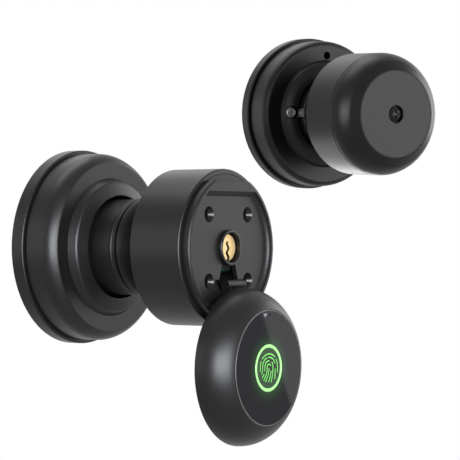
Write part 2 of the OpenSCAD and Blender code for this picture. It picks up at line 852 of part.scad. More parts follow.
// Domed shell: skirt that slides over the spigot, arc to the flat face, ledge that carries the lens
module cover_shell() {
    color(satin_black) on_cover() difference() {
        union() {
            rotate_extrude() difference() {
                intersection() {
                    square([knob_r, cover_depth]);
                    union() {
                        translate([cover_arc_r, 0]) circle(cover_arc, $fn = 180);
                        square([cover_arc_r, cover_depth]);
                    }
                }
                translate([-1, -1]) square([skirt_in + 1, skirt_depth + 1]);
                intersection() {
                    translate([-1, -1]) square([knob_r, lens_seat - ledge_t + 1]);
                    union() {
                        translate([cover_arc_r, 0]) circle(cover_arc - shell_wall, $fn = 180);
                        translate([-1, -1]) square([cover_arc_r + 1, cover_depth + 2]);
                    }
                }
                translate([-1, -1]) square([bezel_r + fit_gap - lens_ledge_w + 1, cover_depth + 2]);
                translate([-1, lens_seat]) square([bezel_r + fit_gap + 1, lens_t + 1]);
            }
            at_cover_bosses() disc(cover_boss_r, back_at + back_t + e, lens_seat - 0.1);
        }
        at_cover_bosses() disc(0.8, back_at, lens_seat - 1);
    }
}

module at_cover_bosses() {
    for (turn = [30, 150, 270])
        rotate([0, 0, turn]) translate([cover_boss_at, 0, 0]) children();
}

// Inner back plate of the cover, with the ears of the upper pivot and the posts for the sensor board
module cover_back() {
    plate_r = cover_arc_r + sqrt(pow(cover_arc - shell_wall, 2) - pow(back_at + back_t, 2)) - 0.1;
    color(satin_black) on_cover() {
        difference() {
            union() {
                disc(plate_r, back_at, back_at + back_t);
                for (turn = [90, 210, 330])
                    rotate([0, 0, turn]) translate([board_post_at, 0, 0]) disc(2, back_at + 1, board_at);
            }
            at_cover_bosses() disc(0.9, back_at - 1, back_at + back_t + 1);
        }
        at_ears() ear_profile([cover_pivot_y, pivot_back], [
            [cover_pivot_y - knuckle_r * 0.98, pivot_back + 0.3],
            [cover_pivot_y + knuckle_r * 0.98, pivot_back + 0.3],
            [cover_pivot_y + knuckle_r + 1.4, back_at + 0.2], [cover_pivot_y - knuckle_r - 1.4, back_at + 0.2]
        ]);
    }
}

module cover_screws() {
    color(steel) on_cover() at_cover_bosses() difference() {
        union() {
            disc(0.75, back_at - 0.3, lens_seat - 1.4);
            turned_bar(0, 1.6, back_at - 0.9, back_at - e);
        }
        translate([-1.1, -0.2, back_at - 1.9]) cube([2.2, 0.4, 1.4]);
        translate([-0.2, -1.1, back_at - 1.9]) cube([0.4, 2.2, 1.4]);
    }
}

module lens_bezel() {
    color(gloss_black) on_cover() turned_bar(bezel_r - bezel_w, bezel_r, lens_seat + e, cover_depth, 0.15);
}

module lens() {
    color(gloss_black) on_cover() difference() {
        turned_bar(glow_r + fit_gap, lens_r, lens_seat + e, cover_depth, 0.15);
        translate([pinhole_at.x, pinhole_at.y, 0]) disc(0.45, lens_seat - 1, cover_depth + 1);
    }
}

module light_ring() {
    color(glow_green) on_cover() ring(glow_in + fit_gap, glow_r, board_at + sensor_board_t + e, cover_depth);
}

module sensor_pad() {
    color(gloss_black) on_cover() disc(glow_in, board_at + sensor_board_t + e, cover_depth);
}

module sensor_board() {
    color(board_green) on_cover() {
        disc(sensor_board_r, board_at + e, board_at + sensor_board_t);
        translate([-board_post_at, -connector_w / 2, board_at + sensor_board_t - 0.1])
            cube([0.4 * connector_w, connector_w, 0.6]);
    }
}

// ---------- interior half ----------

module int_base_ring() {
    color(satin_black) interior() base_ring();
}

// Rose with a cup for each mounting screw, open towards the neck, and the service hole above
module int_rose() {
    color(satin_black) interior() difference() {
        union() {
            rose();
            difference() {
                at_mounts() disc(pocket_r + 1.2, pocket_back, ridge_h - shell_wall + 0.1);
                disc(rose_hole_r, 0, rose_h + 1);
            }
        }
        at_mounts() {
            disc(pocket_r, pocket_a, rose_h + 1);
            disc(mount_hole_r, pocket_back - 1, pocket_a + 1);
        }
        translate([0, service_at, 0]) disc(service_r, side_top - 2, rose_h + 1);
    }
}

// Mounting plate with a sleeve under each screw cup
module int_mount_plate() {
    color(steel) interior() difference() {
        union() {
            mount_plate();
            at_mounts() disc(sleeve_r, plate_top - 1, pocket_back - e);
        }
        at_mounts() disc(mount_hole_r, -1, pocket_a + 1);
        disc(hub_bore, -1, hub_top);
    }
}

module int_retaining_ring() {
    color(steel) interior() retaining_ring();
}

// Cross recess of a screw head: two slots cut down from the head's top
module cross_recess(top, long, wide, deep) {
    for (turn = [0, 90])
        rotate([0, 0, turn]) translate([-long / 2, -wide / 2, top - deep]) cube([long, wide, deep + 1]);
}

// Pan-head screws that pass through the interior half towards the exterior half's posts
module mounting_screws() {
    head_top = pocket_a + mount_head_h;
    color(steel) interior() at_mounts() difference() {
        union() {
            turned_bar(0, mount_head_r, pocket_a + e, head_top, 0.9);
            turned_bar(0, mount_screw_r, -screw_out, thread_end, 0, 0.5);
            disc(mount_shank_r, thread_end - 0.5, pocket_a + 0.5);
        }
        cross_recess(head_top, 3.2, 0.7, 1.1);
    }
}

// Window at the left of the neck through which the knob catch is pressed
module catch_window(grow) {
    translate([-neck_r - 1, -window_half - grow, window_back - grow])
        cube([neck_r + 1.1 - catch_in + catch_travel, 2 * (window_half + grow),
              window_front - window_back + 2 * grow]);
}

module int_neck() {
    color(satin_black) interior() difference() {
        neck(int_neck_front);
        catch_window(0);
    }
}

module int_bell() {
    start = int_barrel_back - bell_len;
    boss_back = start + max(flare_at(tray_screw_y + tray_boss_r) + seam, bell_floor_at + bell_floor_t / 2);
    color(satin_black) interior() difference() {
        union() {
            bell(int_barrel_back);
            for (s = [-1, 1])
                translate([0, s * tray_screw_y, 0]) disc(tray_boss_r, boss_back, tray_back - e);
        }
        for (s = [-1, 1])
            translate([0, s * tray_screw_y, 0]) disc(screw_r + fit_gap, int_barrel_back - 1.5, tray_back + 1);
        disc(tail_w / 2 + 1.2, int_neck_front, int_barrel_back);
        catch_window(0.2);
    }
}

// Spring catch that holds the knob on the spindle, seen through the neck's window
module knob_catch() {
    color(steel) interior() difference() {
        translate([-catch_out, -window_half + 0.5, window_back + 0.5])
            cube([catch_out - catch_in, 2 * window_half - 1, window_front - window_back - 1]);
        translate([-catch_out - 1, -0.8, window_back + 2]) cube([1.6, 1.6, window_front - window_back - 4]);
    }
}

module int_barrel() {
    color(satin_black) interior() rotate_extrude() {
        difference() {
            bar_section(barrel_in, knob_r, int_barrel_back, int_front, 0, barrel_bevel);
            polygon([[knob_r - 0.35, int_front + e], [knob_r + 1, int_front + e], [knob_r + 1, int_front - 0.35],
                     [knob_r, int_front - 0.35]]);
        }
        translate([barrel_in - 1.7, lip_at]) square([2, clamp_lip]);
    }
}

module spindle() {
    color(steel) interior() translate([-spindle_w / 2, -spindle_w / 2, -spindle_out])
        cube([spindle_w, spindle_w, spindle_out + int_neck_front - 0.5]);
}

// Disc in the bell's tail that the spindle is fitted into
module spindle_hub() {
    hub_front = int_neck_front - 0.5;
    color(steel) interior() difference() {
        disc(tail_r - tail_wall - fit_gap, nose_top + 0.3, hub_front);
        translate([-spindle_w / 2 - fit_gap, -spindle_w / 2 - fit_gap, nose_top - 1])
            cube([spindle_w + 2 * fit_gap, spindle_w + 2 * fit_gap, hub_front - nose_top + 2]);
        catch_window(0.2);
    }
}

// Cradle for four cells that lie across the knob in two layers, with a web that takes the cap screw
module battery_tray() {
    wall_x = cell_len / 2 + 1.6;
    wall_y = cell_y + cell_r + 1;
    color(dark_plastic) interior() difference() {
        union() {
            disc(barrel_in - 0.2, tray_back, tray_back + tray_t);
            intersection() {
                disc(tray_r, tray_back, tray_front);
                translate([-wall_x, -wall_y, tray_back])
                    cube([2 * wall_x, 2 * wall_y, tray_front - tray_back]);
            }
        }
        for (s = [-1, 1]) {
            translate([-cell_len / 2 - 0.65, s * cell_y - cell_r - cell_gap / 2, tray_back + tray_t])
                cube([cell_len + 1.3, 2 * cell_r + cell_gap, tray_front]);
            translate([0, s * tray_screw_y, 0])
                disc(screw_r + fit_gap, tray_back - 1, tray_back + tray_t + 1);
        }
        disc(cap_screw_r + run_gap, tray_front - cap_screw_grip - 1, tray_front + 1);
    }
}

module tray_screws() {
    head = tray_back + tray_t;
    color(steel) interior() for (s = [-1, 1])
        translate([0, s * tray_screw_y, 0]) difference() {
            union() {
                turned_bar(0, 1.7, head + e, head + 1.2, 0.4);
                disc(screw_r, int_barrel_back - 1, head + 0.3);
            }
            cross_recess(head + 1.2, 1.8, 0.4, 0.5);
        }
}

module batteries() {
    color(cell_grey) interior() for (layer = [0, 1], s = [-1, 1])
        translate([0, s * cell_y, cell_a[layer]]) rotate([0, s * 90, 0]) {
            translate([0, 0, -cell_len / 2]) cylinder(r = cell_r, h = cell_len - 1);
            translate([0, 0, cell_len / 2 - 1.1]) cylinder(r = 2.5, h = 1.1);
        }
}

// Thin nickel tabs at both ends of every cell
module battery_contacts() {
    tab = 7;
    color(steel) interior() for (layer = [0, 1], s = [-1, 1], side = [-1, 1])
        translate([side * (cell_len / 2 + 0.35) - 0.25, s * cell_y - tab / 2, cell_a[layer] - tab / 2])
            cube([0.5, tab, tab]);
}

// Domed cap over the cells, with a skirt in the barrel and a boss behind the recessed screw
module battery_cap() {
    inside = cap_face - cap_back - shell_wall;
    color(satin_black) interior() difference() {
        union() {
            translate([0, 0, cap_back]) rotate_extrude() difference() {
                intersection() {
                    square([knob_r, cap_depth]);
                    union() {
                        translate([cap_arc_r, 0]) circle(cap_arc, $fn = 180);
                        square([cap_arc_r, cap_depth]);
                    }
                }
                intersection() {
                    translate([-1, -1]) square([knob_r, inside + 1]);
                    union() {
                        translate([cap_arc_r, 0]) circle(cap_arc - shell_wall, $fn = 180);
                        translate([-1, -1]) square([cap_arc_r + 1, cap_depth]);
                    }
                }
                translate([knob_r, 0]) circle(0.35, $fn = 4);
            }
            ring(cap_skirt_r - 1.5, cap_skirt_r, cap_back - cap_skirt, cap_back + 1);
            ring(cap_skirt_r - 1.5, knob_r - 1, cap_back, cap_back + 1.2);
            disc(cap_recess_r + 1.2, tray_front + 0.2, cap_face - 1);
        }
        turned_recess();
        disc(cap_screw_r + 0.15, tray_front - 1, cap_face);
    }
}

// Recess for the cap screw's head, with a softened mouth
module turned_recess() {
    disc(cap_recess_r, cap_face - cap_recess_d, cap_face + 1);
    translate([0, 0, cap_face - 0.3]) cylinder(r1 = cap_recess_r, r2 = cap_recess_r + 0.35, h = 0.31);
}

// Captive screw with a domed cross head
module cap_screw() {
    head_r = cap_recess_r - 0.4;
    seat = cap_face - cap_recess_d + e;
    dome = 6.5;
    crown = cap_face + 0.1;
    color(satin_black) interior() difference() {
        union() {
            intersection() {
                disc(head_r, seat, crown + 1);
                translate([0, 0, crown - dome]) sphere(dome);
            }
            disc(cap_screw_r, tray_front - cap_screw_grip, seat + 0.3);
        }
        cross_recess(crown, 4, 0.95, 1);
    }
}

ext_base_ring();
ext_rose();
ext_mount_plate();
ext_retaining_ring();
ext_return_spring();
ext_neck();
ext_bell();
ext_barrel();
front_plate();
plate_screws();
key_collar();
cylinder_body();
key_plug();
plug_clip();
key_tail();
drive_hub();
clutch_housing();
clutch_pin();
clutch_motor();
main_board();
hinge_bracket();
hinge_screws();
plate_hinge_pin();
hinge_link();
cover_hinge_pin();
cover_shell();
cover_back();
cover_screws();
lens_bezel();
lens();
light_ring();
sensor_pad();
sensor_board();
int_base_ring();
int_rose();
int_mount_plate();
int_retaining_ring();
mounting_screws();
int_neck();
int_bell();
int_barrel();
spindle();
spindle_hub();
knob_catch();
battery_tray();
tray_screws();
batteries();
battery_contacts();
battery_cap();
cap_screw();
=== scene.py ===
"""Looks of a fingerprint door-knob lock: two satin-black knob halves, a swing-down cover and a key recess.

Each half is worked out about its own knob axis, in millimetres: x to the right, y up and a the distance in
front of the door face. A turned piece is an outline of (radius, a) pairs carried round that axis.
"""

import json
import logging
import math
from dataclasses import dataclass
from enum import Enum
from typing import Optional, Sequence, Union

import bpy
import numpy as np
from bpy.types import Collection, Material, Node, NodeSocket, NodeTree, Object
from mathutils import Matrix, Vector

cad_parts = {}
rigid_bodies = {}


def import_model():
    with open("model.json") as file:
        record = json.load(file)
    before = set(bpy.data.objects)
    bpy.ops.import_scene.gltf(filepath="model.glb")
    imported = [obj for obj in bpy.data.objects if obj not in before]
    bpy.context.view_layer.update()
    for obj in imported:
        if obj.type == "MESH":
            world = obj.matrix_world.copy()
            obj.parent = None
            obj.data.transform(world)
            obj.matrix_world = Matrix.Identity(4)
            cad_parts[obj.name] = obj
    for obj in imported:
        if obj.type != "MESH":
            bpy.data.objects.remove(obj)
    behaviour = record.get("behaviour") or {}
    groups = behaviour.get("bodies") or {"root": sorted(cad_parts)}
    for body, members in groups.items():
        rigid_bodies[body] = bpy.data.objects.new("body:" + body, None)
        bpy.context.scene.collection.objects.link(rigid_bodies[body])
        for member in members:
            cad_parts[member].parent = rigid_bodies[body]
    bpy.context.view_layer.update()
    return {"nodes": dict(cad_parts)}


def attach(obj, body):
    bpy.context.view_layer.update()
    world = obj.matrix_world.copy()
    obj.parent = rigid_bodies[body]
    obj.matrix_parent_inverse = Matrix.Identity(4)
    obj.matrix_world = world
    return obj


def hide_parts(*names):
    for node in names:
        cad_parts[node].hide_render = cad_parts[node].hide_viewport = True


MM = 0.001
LOG = logging.getLogger("knob_lock")

Colour = tuple[float, float, float]
Number = Union[float, "Sum"]
Feed = Union[Number, tuple[float, ...], NodeSocket]


class Body(Enum):
    """The bodies that the new pieces move with."""

    BASE = "lock_base"
    EXTERIOR_KNOB = "exterior_knob"
    INTERIOR_KNOB = "interior_knob"
    COVER = "cover"
    CAP = "battery_cap"


# ---- outlines and surfaces


def arc(radius: float, dist: float, bend: float, start: float, end: float, steps: int = 12) -> np.ndarray:
    """Points on a circle of radius bend about (radius, dist), from the start to the end angle in degrees.

    Args:
        radius, dist: Centre of the circle, as a radius from the knob axis and a distance along it.
        bend: Radius of the circle.
        start, end: Angles, counted from the outward radius towards the front.
        steps: Number of stretches.

    Returns:
        An array of (radius, distance) rows.
    """
    angle = np.radians(np.linspace(start, end, steps + 1))
    return np.stack([radius + bend * np.cos(angle), dist + bend * np.sin(angle)], axis=1)


def eased(corners: Sequence[tuple[float, float, float]], steps: int = 6) -> np.ndarray:
    """A closed outline through corners, each of them rounded by the arc that touches both of its edges.

    For a corner P with unit directions u and v to its neighbours and opening angle w, the arc of radius q
    starts at P + u q / tan(w / 2), ends at P + v q / tan(w / 2), and has its centre on the bisector, at
    q / sin(w / 2).

    Args:
        corners: (radius, distance, rounding) of each corner, in order round the outline.
        steps: Stretches in each arc.

    Returns:
        An array of (radius, distance) rows; a sharp corner gives one row.
    """
    table = np.array(corners, float)
    here = table[:, :2]
    to_last = np.roll(here, 1, axis=0) - here
    to_next = np.roll(here, -1, axis=0) - here
    u = to_last / np.linalg.norm(to_last, axis=1, keepdims=True)
    v = to_next / np.linalg.norm(to_next, axis=1, keepdims=True)
    half = np.arccos(np.clip((u * v).sum(1), -1, 1)) / 2
    parts = []
    for p, a, b, w, q in zip(here, u, v, half, table[:, 2]):
        if q <= 0 or abs(w - math.pi / 2) < 1e-3:
            parts.append(p[None])
            continue
        centre = p + (a + b) / np.linalg.norm(a + b) * q / math.sin(w)
        first, last = p + a * q / math.tan(w) - centre, p + b * q / math.tan(w) - centre
        t = np.linspace(0, 1, steps + 1)[:, None]
        sweep = math.pi - 2 * w
        swept = np.sin((1 - t) * sweep) * first + np.sin(t * sweep) * last
        parts.append(centre + swept / math.sin(sweep))
    return np.vstack(parts)


def slab(bore_r: float, outer_r: float, back: float, front: float, outer_round: float = 0.0,
         bore_round: float = 0.0) -> np.ndarray:
    """Closed outline of a flat ring, with its two front edges rounded by these radii."""
    return eased([(bore_r, back, 0), (outer_r, back, 0), (outer_r, front, outer_round),
                  (bore_r, front, bore_round)])


def held(outline: np.ndarray, reach: float = 0.12) -> np.ndarray:
    """The outline with an extra point near both ends of each long run, to keep smooth shading on the curves.

    Args:
        outline: Closed outline of (radius, distance) rows.
        reach: Distance of the added points from the run's ends; runs under eight times this get none.

    Returns:
        The longer outline.
    """
    after = np.roll(outline, -1, axis=0)
    run = np.linalg.norm(after - outline, axis=1)
    part = np.where(run > 8 * reach, reach / np.maximum(run, 1e-9), 0)[:, None]
    near_start, near_end = outline + (after - outline) * part, after + (outline - after) * part
    long = part[:, 0] > 0
    keep = np.stack([np.ones_like(run, bool), long, long], axis=1)
    return np.stack([outline, near_start, near_end], axis=1)[keep]


@dataclass(frozen=True)
class Seat:
    """Where a sub-assembly's own axes lie in the row frame.

    Its origin is in millimetres; the knob leans down by one angle and is then turned about the upright.
    """

    x: float = 0.0
    y: float = 0.0
    z: float = 0.0
    turn: float = 0.0
    lean: float = 0.0

    def angles(self) -> tuple[float, float, float, float]:
        """Cosine and sine of the turn, then of the lean."""
        turn, lean = math.radians(self.turn), math.radians(self.lean)
        return math.cos(turn), math.sin(turn), math.cos(lean), math.sin(lean)

    def place(self, points: np.ndarray) -> np.ndarray:
        """Row-frame metres of points (x, y, a).

        With lean p, (y, a) goes to row (Y, Z) = (-a cos p - y sin p, y cos p - a sin p); then all is turned.
        """
        c, s, cp, sp = self.angles()
        x = points[:, 0]
        y = -cp * points[:, 2] - sp * points[:, 1]
        z = cp * points[:, 1] - sp * points[:, 2]
        row = np.stack([c * x + s * y + self.x, -s * x + c * y + self.y, z + self.z], axis=1)
        return row * MM

    def local(self, row: np.ndarray) -> np.ndarray:
        """Points (x, y, a) in millimetres of row-frame metres; the reverse of place."""
        c, s, cp, sp = self.angles()
        east, north, z = (row / MM - (self.x, self.y, self.z)).T
        y = s * east + c * north
        return np.stack([c * east - s * north, cp * z - sp * y, -cp * y - sp * z], axis=1)


EXTERIOR = Seat()
INTERIOR = Seat(258.0, 60.4, 66.0, 22.2, 2.8)
# The open cover's middle is this far below the exterior knob axis, and its rim this far in front of the door
COVER_DROP = 44.5447
COVER_RIM = 80.2561
COVER = Seat(0.0, -COVER_RIM, -COVER_DROP)


def mesh_piece(name: str, points: np.ndarray, faces: np.ndarray, seat: Seat,
               smooth: bool = True) -> Object:
    """An object at the origin whose mesh has these points and faces, with its faces pointing outwards.

    The sign of six times the volume, the sum of a . (b x c) over the triangles, tells which way they point.

    Args:
        name: Name of the piece.
        points: (x, y, a) rows in millimetres.
        faces: Rows of three or four point numbers.
        seat: Where the piece's own axes lie.
        smooth: Whether its shading is smooth.

    Returns:
        The new object, linked to the scene.
    """
    place = seat.place(points)
    a, b, c = place[faces[:, 0]], place[faces[:, 1]], place[faces[:, 2]]
    volume = np.einsum("ij,ij->i", a, np.cross(b, c)).sum()
    if faces.shape[1] == 4:
        d = place[faces[:, 3]]
        volume += np.einsum("ij,ij->i", a, np.cross(c, d)).sum()
    if volume < 0:
        faces = faces[:, ::-1]
    mesh = bpy.data.meshes.new(name)
    mesh.from_pydata(place.tolist(), [], faces.tolist())
    mesh.polygons.foreach_set("use_smooth", np.full(len(mesh.polygons), smooth))
    mesh.update()
    piece = bpy.data.objects.new(name, mesh)
    bpy.context.scene.collection.objects.link(piece)
    return piece


def turned(name: str, outline: np.ndarray, seat: Seat, steps: int = 256) -> Object:
    """A closed ring or disc: point i of the outline at turn t lies at (r_i cos t, r_i sin t, a_i).

    Args:
        name: Name of the piece.
        outline: Closed outline of (radius, distance) rows, all at a radius above zero.
        seat: Where the piece's own axes lie.
        steps: Stretches round the axis.

    Returns:
        The new object.
    """
    turn = np.linspace(0, 2 * math.pi, steps, endpoint=False)
    r, a = outline[:, 0], outline[:, 1]
    rounds = ((r, np.cos(turn)), (r, np.sin(turn)), (a, np.ones(steps)))
    grid = np.stack([np.outer(one, other) for one, other in rounds], axis=2)
    i, j = np.meshgrid(np.arange(len(r)), np.arange(steps), indexing="ij")
    i1, j1 = (i + 1) % len(r), (j + 1) % steps
    corners = [i * steps + j, i * steps + j1, i1 * steps + j1, i1 * steps + j]
    return mesh_piece(name, grid.reshape(-1, 3), np.stack(corners, axis=2).reshape(-1, 4), seat)


def merged(solid: Object, grid: float = 0.002 * MM) -> tuple[np.ndarray, np.ndarray]:
    """A solid's points, each of them once, and its triangles.

    Args:
        solid: A CAD node, whose mesh is left as it is.
        grid: Points that round to the same step of this grid are one point.

    Returns:
        Rows in metres and rows of three point numbers.
    """
    mesh = solid.data
    mesh.calc_loop_triangles()
    place = np.empty(3 * len(mesh.vertices))
    mesh.vertices.foreach_get("co", place)
    corners = np.empty(3 * len(mesh.loop_triangles), int)
    mesh.loop_triangles.foreach_get("vertices", corners)
    points, where = np.unique((place.reshape(-1, 3) / grid).round(), axis=0, return_inverse=True)
    faces = where.reshape(-1)[corners].reshape(-1, 3)
    whole = (faces != np.roll(faces, 1, axis=1)).all(axis=1)
    return points * grid, faces[whole]


# ---- rose and knob


@dataclass(frozen=True)
class Rose:
    """A rose in millimetres: side wall, rounded shoulder, flat floor and raised ridge round the neck.

    The ridge's slanting side rises by side_slope for each step inwards from foot_r, and its face by
    face_slope from ridge_r to the crest.
    """

    skirt_r: float = 35.6
    skirt_back: float = 2.9
    side_r: float = 36.5
    side_back: float = 5.9
    side_front: float = 9.0
    shoulder_r: float = 29.5
    shoulder_at: float = 12.6
    shoulder_bend: float = 7.0
    floor_r: float = 32.9
    floor_at: float = 18.7
    foot_r: float = 26.9
    ridge_r: float = 25.3
    ridge_at: float = 21.6
    side_slope: float = 1.81
    face_slope: float = 0.356
    crest_r: float = 20.3
    crest_at: float = 23.38
    neck_hole_r: float = 19.9
    neck_hole_front: float = 23.1
    under_ridge_r: float = 25.3
    under_ridge_at: float = 20.9
    under_floor_r: float = 32.8
    under_floor_at: float = 16.4
    inside_r: float = 34.7
    inside_front: float = 15.0
    inside_back: float = 6.9
    rim_r: float = 34.0
    # On the solid: outside of its ridge, crest of its bead, and lowest place of the cove between them
    solid_ridge_r: float = 27.35
    solid_bead_r: float = 34.4
    solid_cove_at: float = 17.0

    def outline(self) -> np.ndarray:
        """Closed outline: skirt, front from the side to the neck hole, and back along the inner side."""
        return np.vstack([
            [(self.rim_r, self.skirt_back), (self.skirt_r, self.skirt_back), (self.skirt_r, self.side_back)],
            eased([(self.skirt_r, self.side_back, 0), (self.side_r, self.side_back, 0.15),
                   (self.side_r, self.side_front, 0)])[1:],
            arc(self.shoulder_r, self.shoulder_at, self.shoulder_bend, 0, 60, 20),
            [(self.floor_r, self.floor_at)],
            eased([(self.foot_r, self.floor_at, 0), (self.ridge_r, self.ridge_at, 1.5),
                   (self.crest_r, self.crest_at, 0.45), (self.neck_hole_r, self.neck_hole_front, 0.2),
                   (self.neck_hole_r, self.under_ridge_at, 0)], 8),
            [(self.under_ridge_r, self.under_ridge_at), (self.under_ridge_r, self.under_floor_at),
             (self.under_floor_r, self.under_floor_at), (self.under_floor_r, self.inside_front),
             (self.inside_r, self.inside_front), (self.inside_r, self.inside_back),
             (self.rim_r, self.inside_back)],
        ])

    def lowered(self, points: np.ndarray) -> np.ndarray:
        """A solid rose's points, brought to this outline.

        Those of the bead's inner side and of the cove go to the floor, and those of the ridge come down to
        its slanting side, floor_at + (foot_r - r) side_slope, and to its face, ridge_at + (ridge_r - r)
        face_slope.

        Args:
            points: (x, y, a) rows.

        Returns:
            The moved rows.
        """
        moved = points.copy()
        r, a = np.hypot(points[:, 0], points[:, 1]), points[:, 2]
        side = np.maximum(self.floor_at + (self.foot_r - r) * self.side_slope, self.floor_at)
        ridge = np.where(r > self.ridge_r, side, self.ridge_at + (self.ridge_r - r) * self.face_slope)
        high = (r < self.solid_ridge_r) & (a > self.floor_at)
        moved[high, 2] = np.minimum(a, ridge)[high]
        cove = (r > self.solid_ridge_r) & (r < self.solid_bead_r) & (a > self.solid_cove_at)
        moved[cove, 2] = self.floor_at
        return moved


@dataclass(frozen=True)
class Knob:
    """Base ring, rose and turned knob shells of one half, in millimetres from its door face."""

    seat: Seat
    prefix: str
    body: Body
    barrel_back: float
    barrel_front: float
    front_round: float
    lip_back: float
    lip_bore_r: float

    ring_r: float = 38.0
    ring_front: float = 5.4
    ring_bore_r: float = 33.0
    ring_recess_r: float = 35.7
    ring_floor: float = 0.9
    knob_r: float = 29.7
    bore_r: float = 27.8
    neck_r: float = 18.5
    wall: float = 1.8
    bevel: float = 0.8
    lip: float = 1.1
    bell_len: float = 14.6
    groove: float = 0.7
    groove_len: float = 1.0
    hub_r: float = 15.95
    hub_bore_r: float = 14.0
    hub_len: float = 7.4
    web_hole_r: float = 3.7
    web_back: float = 1.1
    web_front: float = 3.1
    spigot_gap: float = 0.05
    spigot_len: float = 4.0

    def shell(self, part: str, outline: np.ndarray, body: Body, reach: float = 0.12) -> None:
        """Turns and finishes the piece for one node, which part names after the half's prefix."""
        node = f"{self.prefix}_{part}"
        settle(turned(f"{node}_turned", held(outline, reach), self.seat), SATIN_BLACK, body, node)

    def base_ring(self) -> None:
        """Ring against the door, with a softened front edge."""
        self.shell("base_ring", eased([
            (self.ring_bore_r, 0, 0), (self.ring_r, 0, 0.25), (self.ring_r, self.ring_front, 0.6),
            (self.ring_recess_r, self.ring_front, 0.1), (self.ring_recess_r, self.ring_floor, 0),
            (self.ring_bore_r, self.ring_floor, 0),
        ]), Body.BASE)

    def rose(self) -> None:
        """Rose as one turned shell."""
        self.shell("rose", Rose().outline(), Body.BASE, 0.05)

    def rose_of(self, solid: Object) -> None:
        """Rose made from a merged copy of its solid, so that it keeps the screw pockets and the service hole.

        Args:
            solid: The CAD node that it stands for.
        """
        place, faces = merged(solid)
        points = Rose().lowered(self.seat.local(place))
        piece = mesh_piece(f"{self.prefix}_rose_floor", points, faces, self.seat)
        piece.data.set_sharp_from_angle(angle=math.radians(28))
        piece.modifiers.new("flat_faces", "WEIGHTED_NORMAL").keep_sharp = True
        settle(piece, SATIN_BLACK, Body.BASE, f"{self.prefix}_rose")

    def bell(self) -> None:
        """Flared back of the knob: a trumpet arc from the neck to the barrel, with the groove behind it.

        The arc passes (first, start) and (last, barrel_back) with its centre in the plane a = start, so its
        radius is (len^2 + (last - first)^2) / (2 (last - first)).
        """
        start = self.barrel_back - self.bell_len
        first, last = self.neck_r + 0.4, self.knob_r - self.bevel
        bend = (self.bell_len ** 2 + (last - first) ** 2) / (2 * (last - first))
        centre = first + bend
        flare = math.degrees(math.asin(self.bell_len / bend))
        fit, end = self.bore_r - self.spigot_gap, self.barrel_back + self.spigot_len
        inner = bend + self.wall
        deep = math.degrees(math.asin(self.web_front / inner))
        shallow = math.degrees(math.acos((centre - (fit - self.wall)) / inner))
        hub_back, groove_back = start - self.hub_len, start - self.groove_len
        groove_r = self.neck_r - self.groove
        self.shell("bell", np.vstack([
            [(self.hub_bore_r, hub_back), (self.hub_r, hub_back), (self.hub_r, groove_back),
             (groove_r, groove_back), (groove_r, start), (first - 0.25, start), (first - 0.05, start + 0.06)],
            arc(centre, start, bend, 179, 180 - flare, 40),
            [(fit, self.barrel_back), (fit, end), (fit - self.wall, end)],
            arc(centre, start, inner, 180 - shallow, 180 - deep, 24),
            [(self.web_hole_r, start + self.web_front), (self.web_hole_r, start + self.web_back),
             (self.hub_bore_r, start + self.web_back)],
        ]), self.body)

    def barrel(self) -> None:
        """Straight barrel with a soft rear bevel, a rounded front rim and a lip in its bore."""
        back, front, lip_front = self.barrel_back, self.barrel_front, self.lip_back + self.lip
        self.shell("barrel", eased([
            (self.bore_r, back, 0), (self.knob_r - self.bevel, back, 0.12),
            (self.knob_r, back + self.bevel, 0.4),
            (self.knob_r, front, self.front_round), (self.bore_r, front, 0.12), (self.bore_r, lip_front, 0),
            (self.lip_bore_r, lip_front, 0.1), (self.lip_bore_r, self.lip_back, 0.1),
            (self.bore_r, self.lip_back, 0),
        ]), self.body)

    def build(self) -> None:
        """Base ring, bell and barrel, which both halves have alike."""
        self.base_ring()
        self.bell()
        self.barrel()


OUTSIDE = Knob(EXTERIOR, "ext", Body.EXTERIOR_KNOB, 50.0, 73.2, 0.7, 69.25, 26.4)
INSIDE = Knob(INTERIOR, "int", Body.INTERIOR_KNOB, 43.8, 65.2, 0.35, 47.9, 26.1)


@dataclass(frozen=True)
class KeyCollar:
    """Raised ring round the key plug, in millimetres from the exterior door face."""

    bore_r: float = 5.65
    outer_r: float = 6.8
    back: float = 74.6
    front: float = 76.1

    def build(self) -> None:
        """Makes the ring, with both front edges softened."""
        outline = slab(self.bore_r, self.outer_r, self.back, self.front, 0.5, 0.28)
        piece = turned("key_collar_turned", held(outline, 0.05), EXTERIOR)
        settle(piece, SATIN_BLACK, Body.EXTERIOR_KNOB, "key_collar")



# ---- cover and battery cap


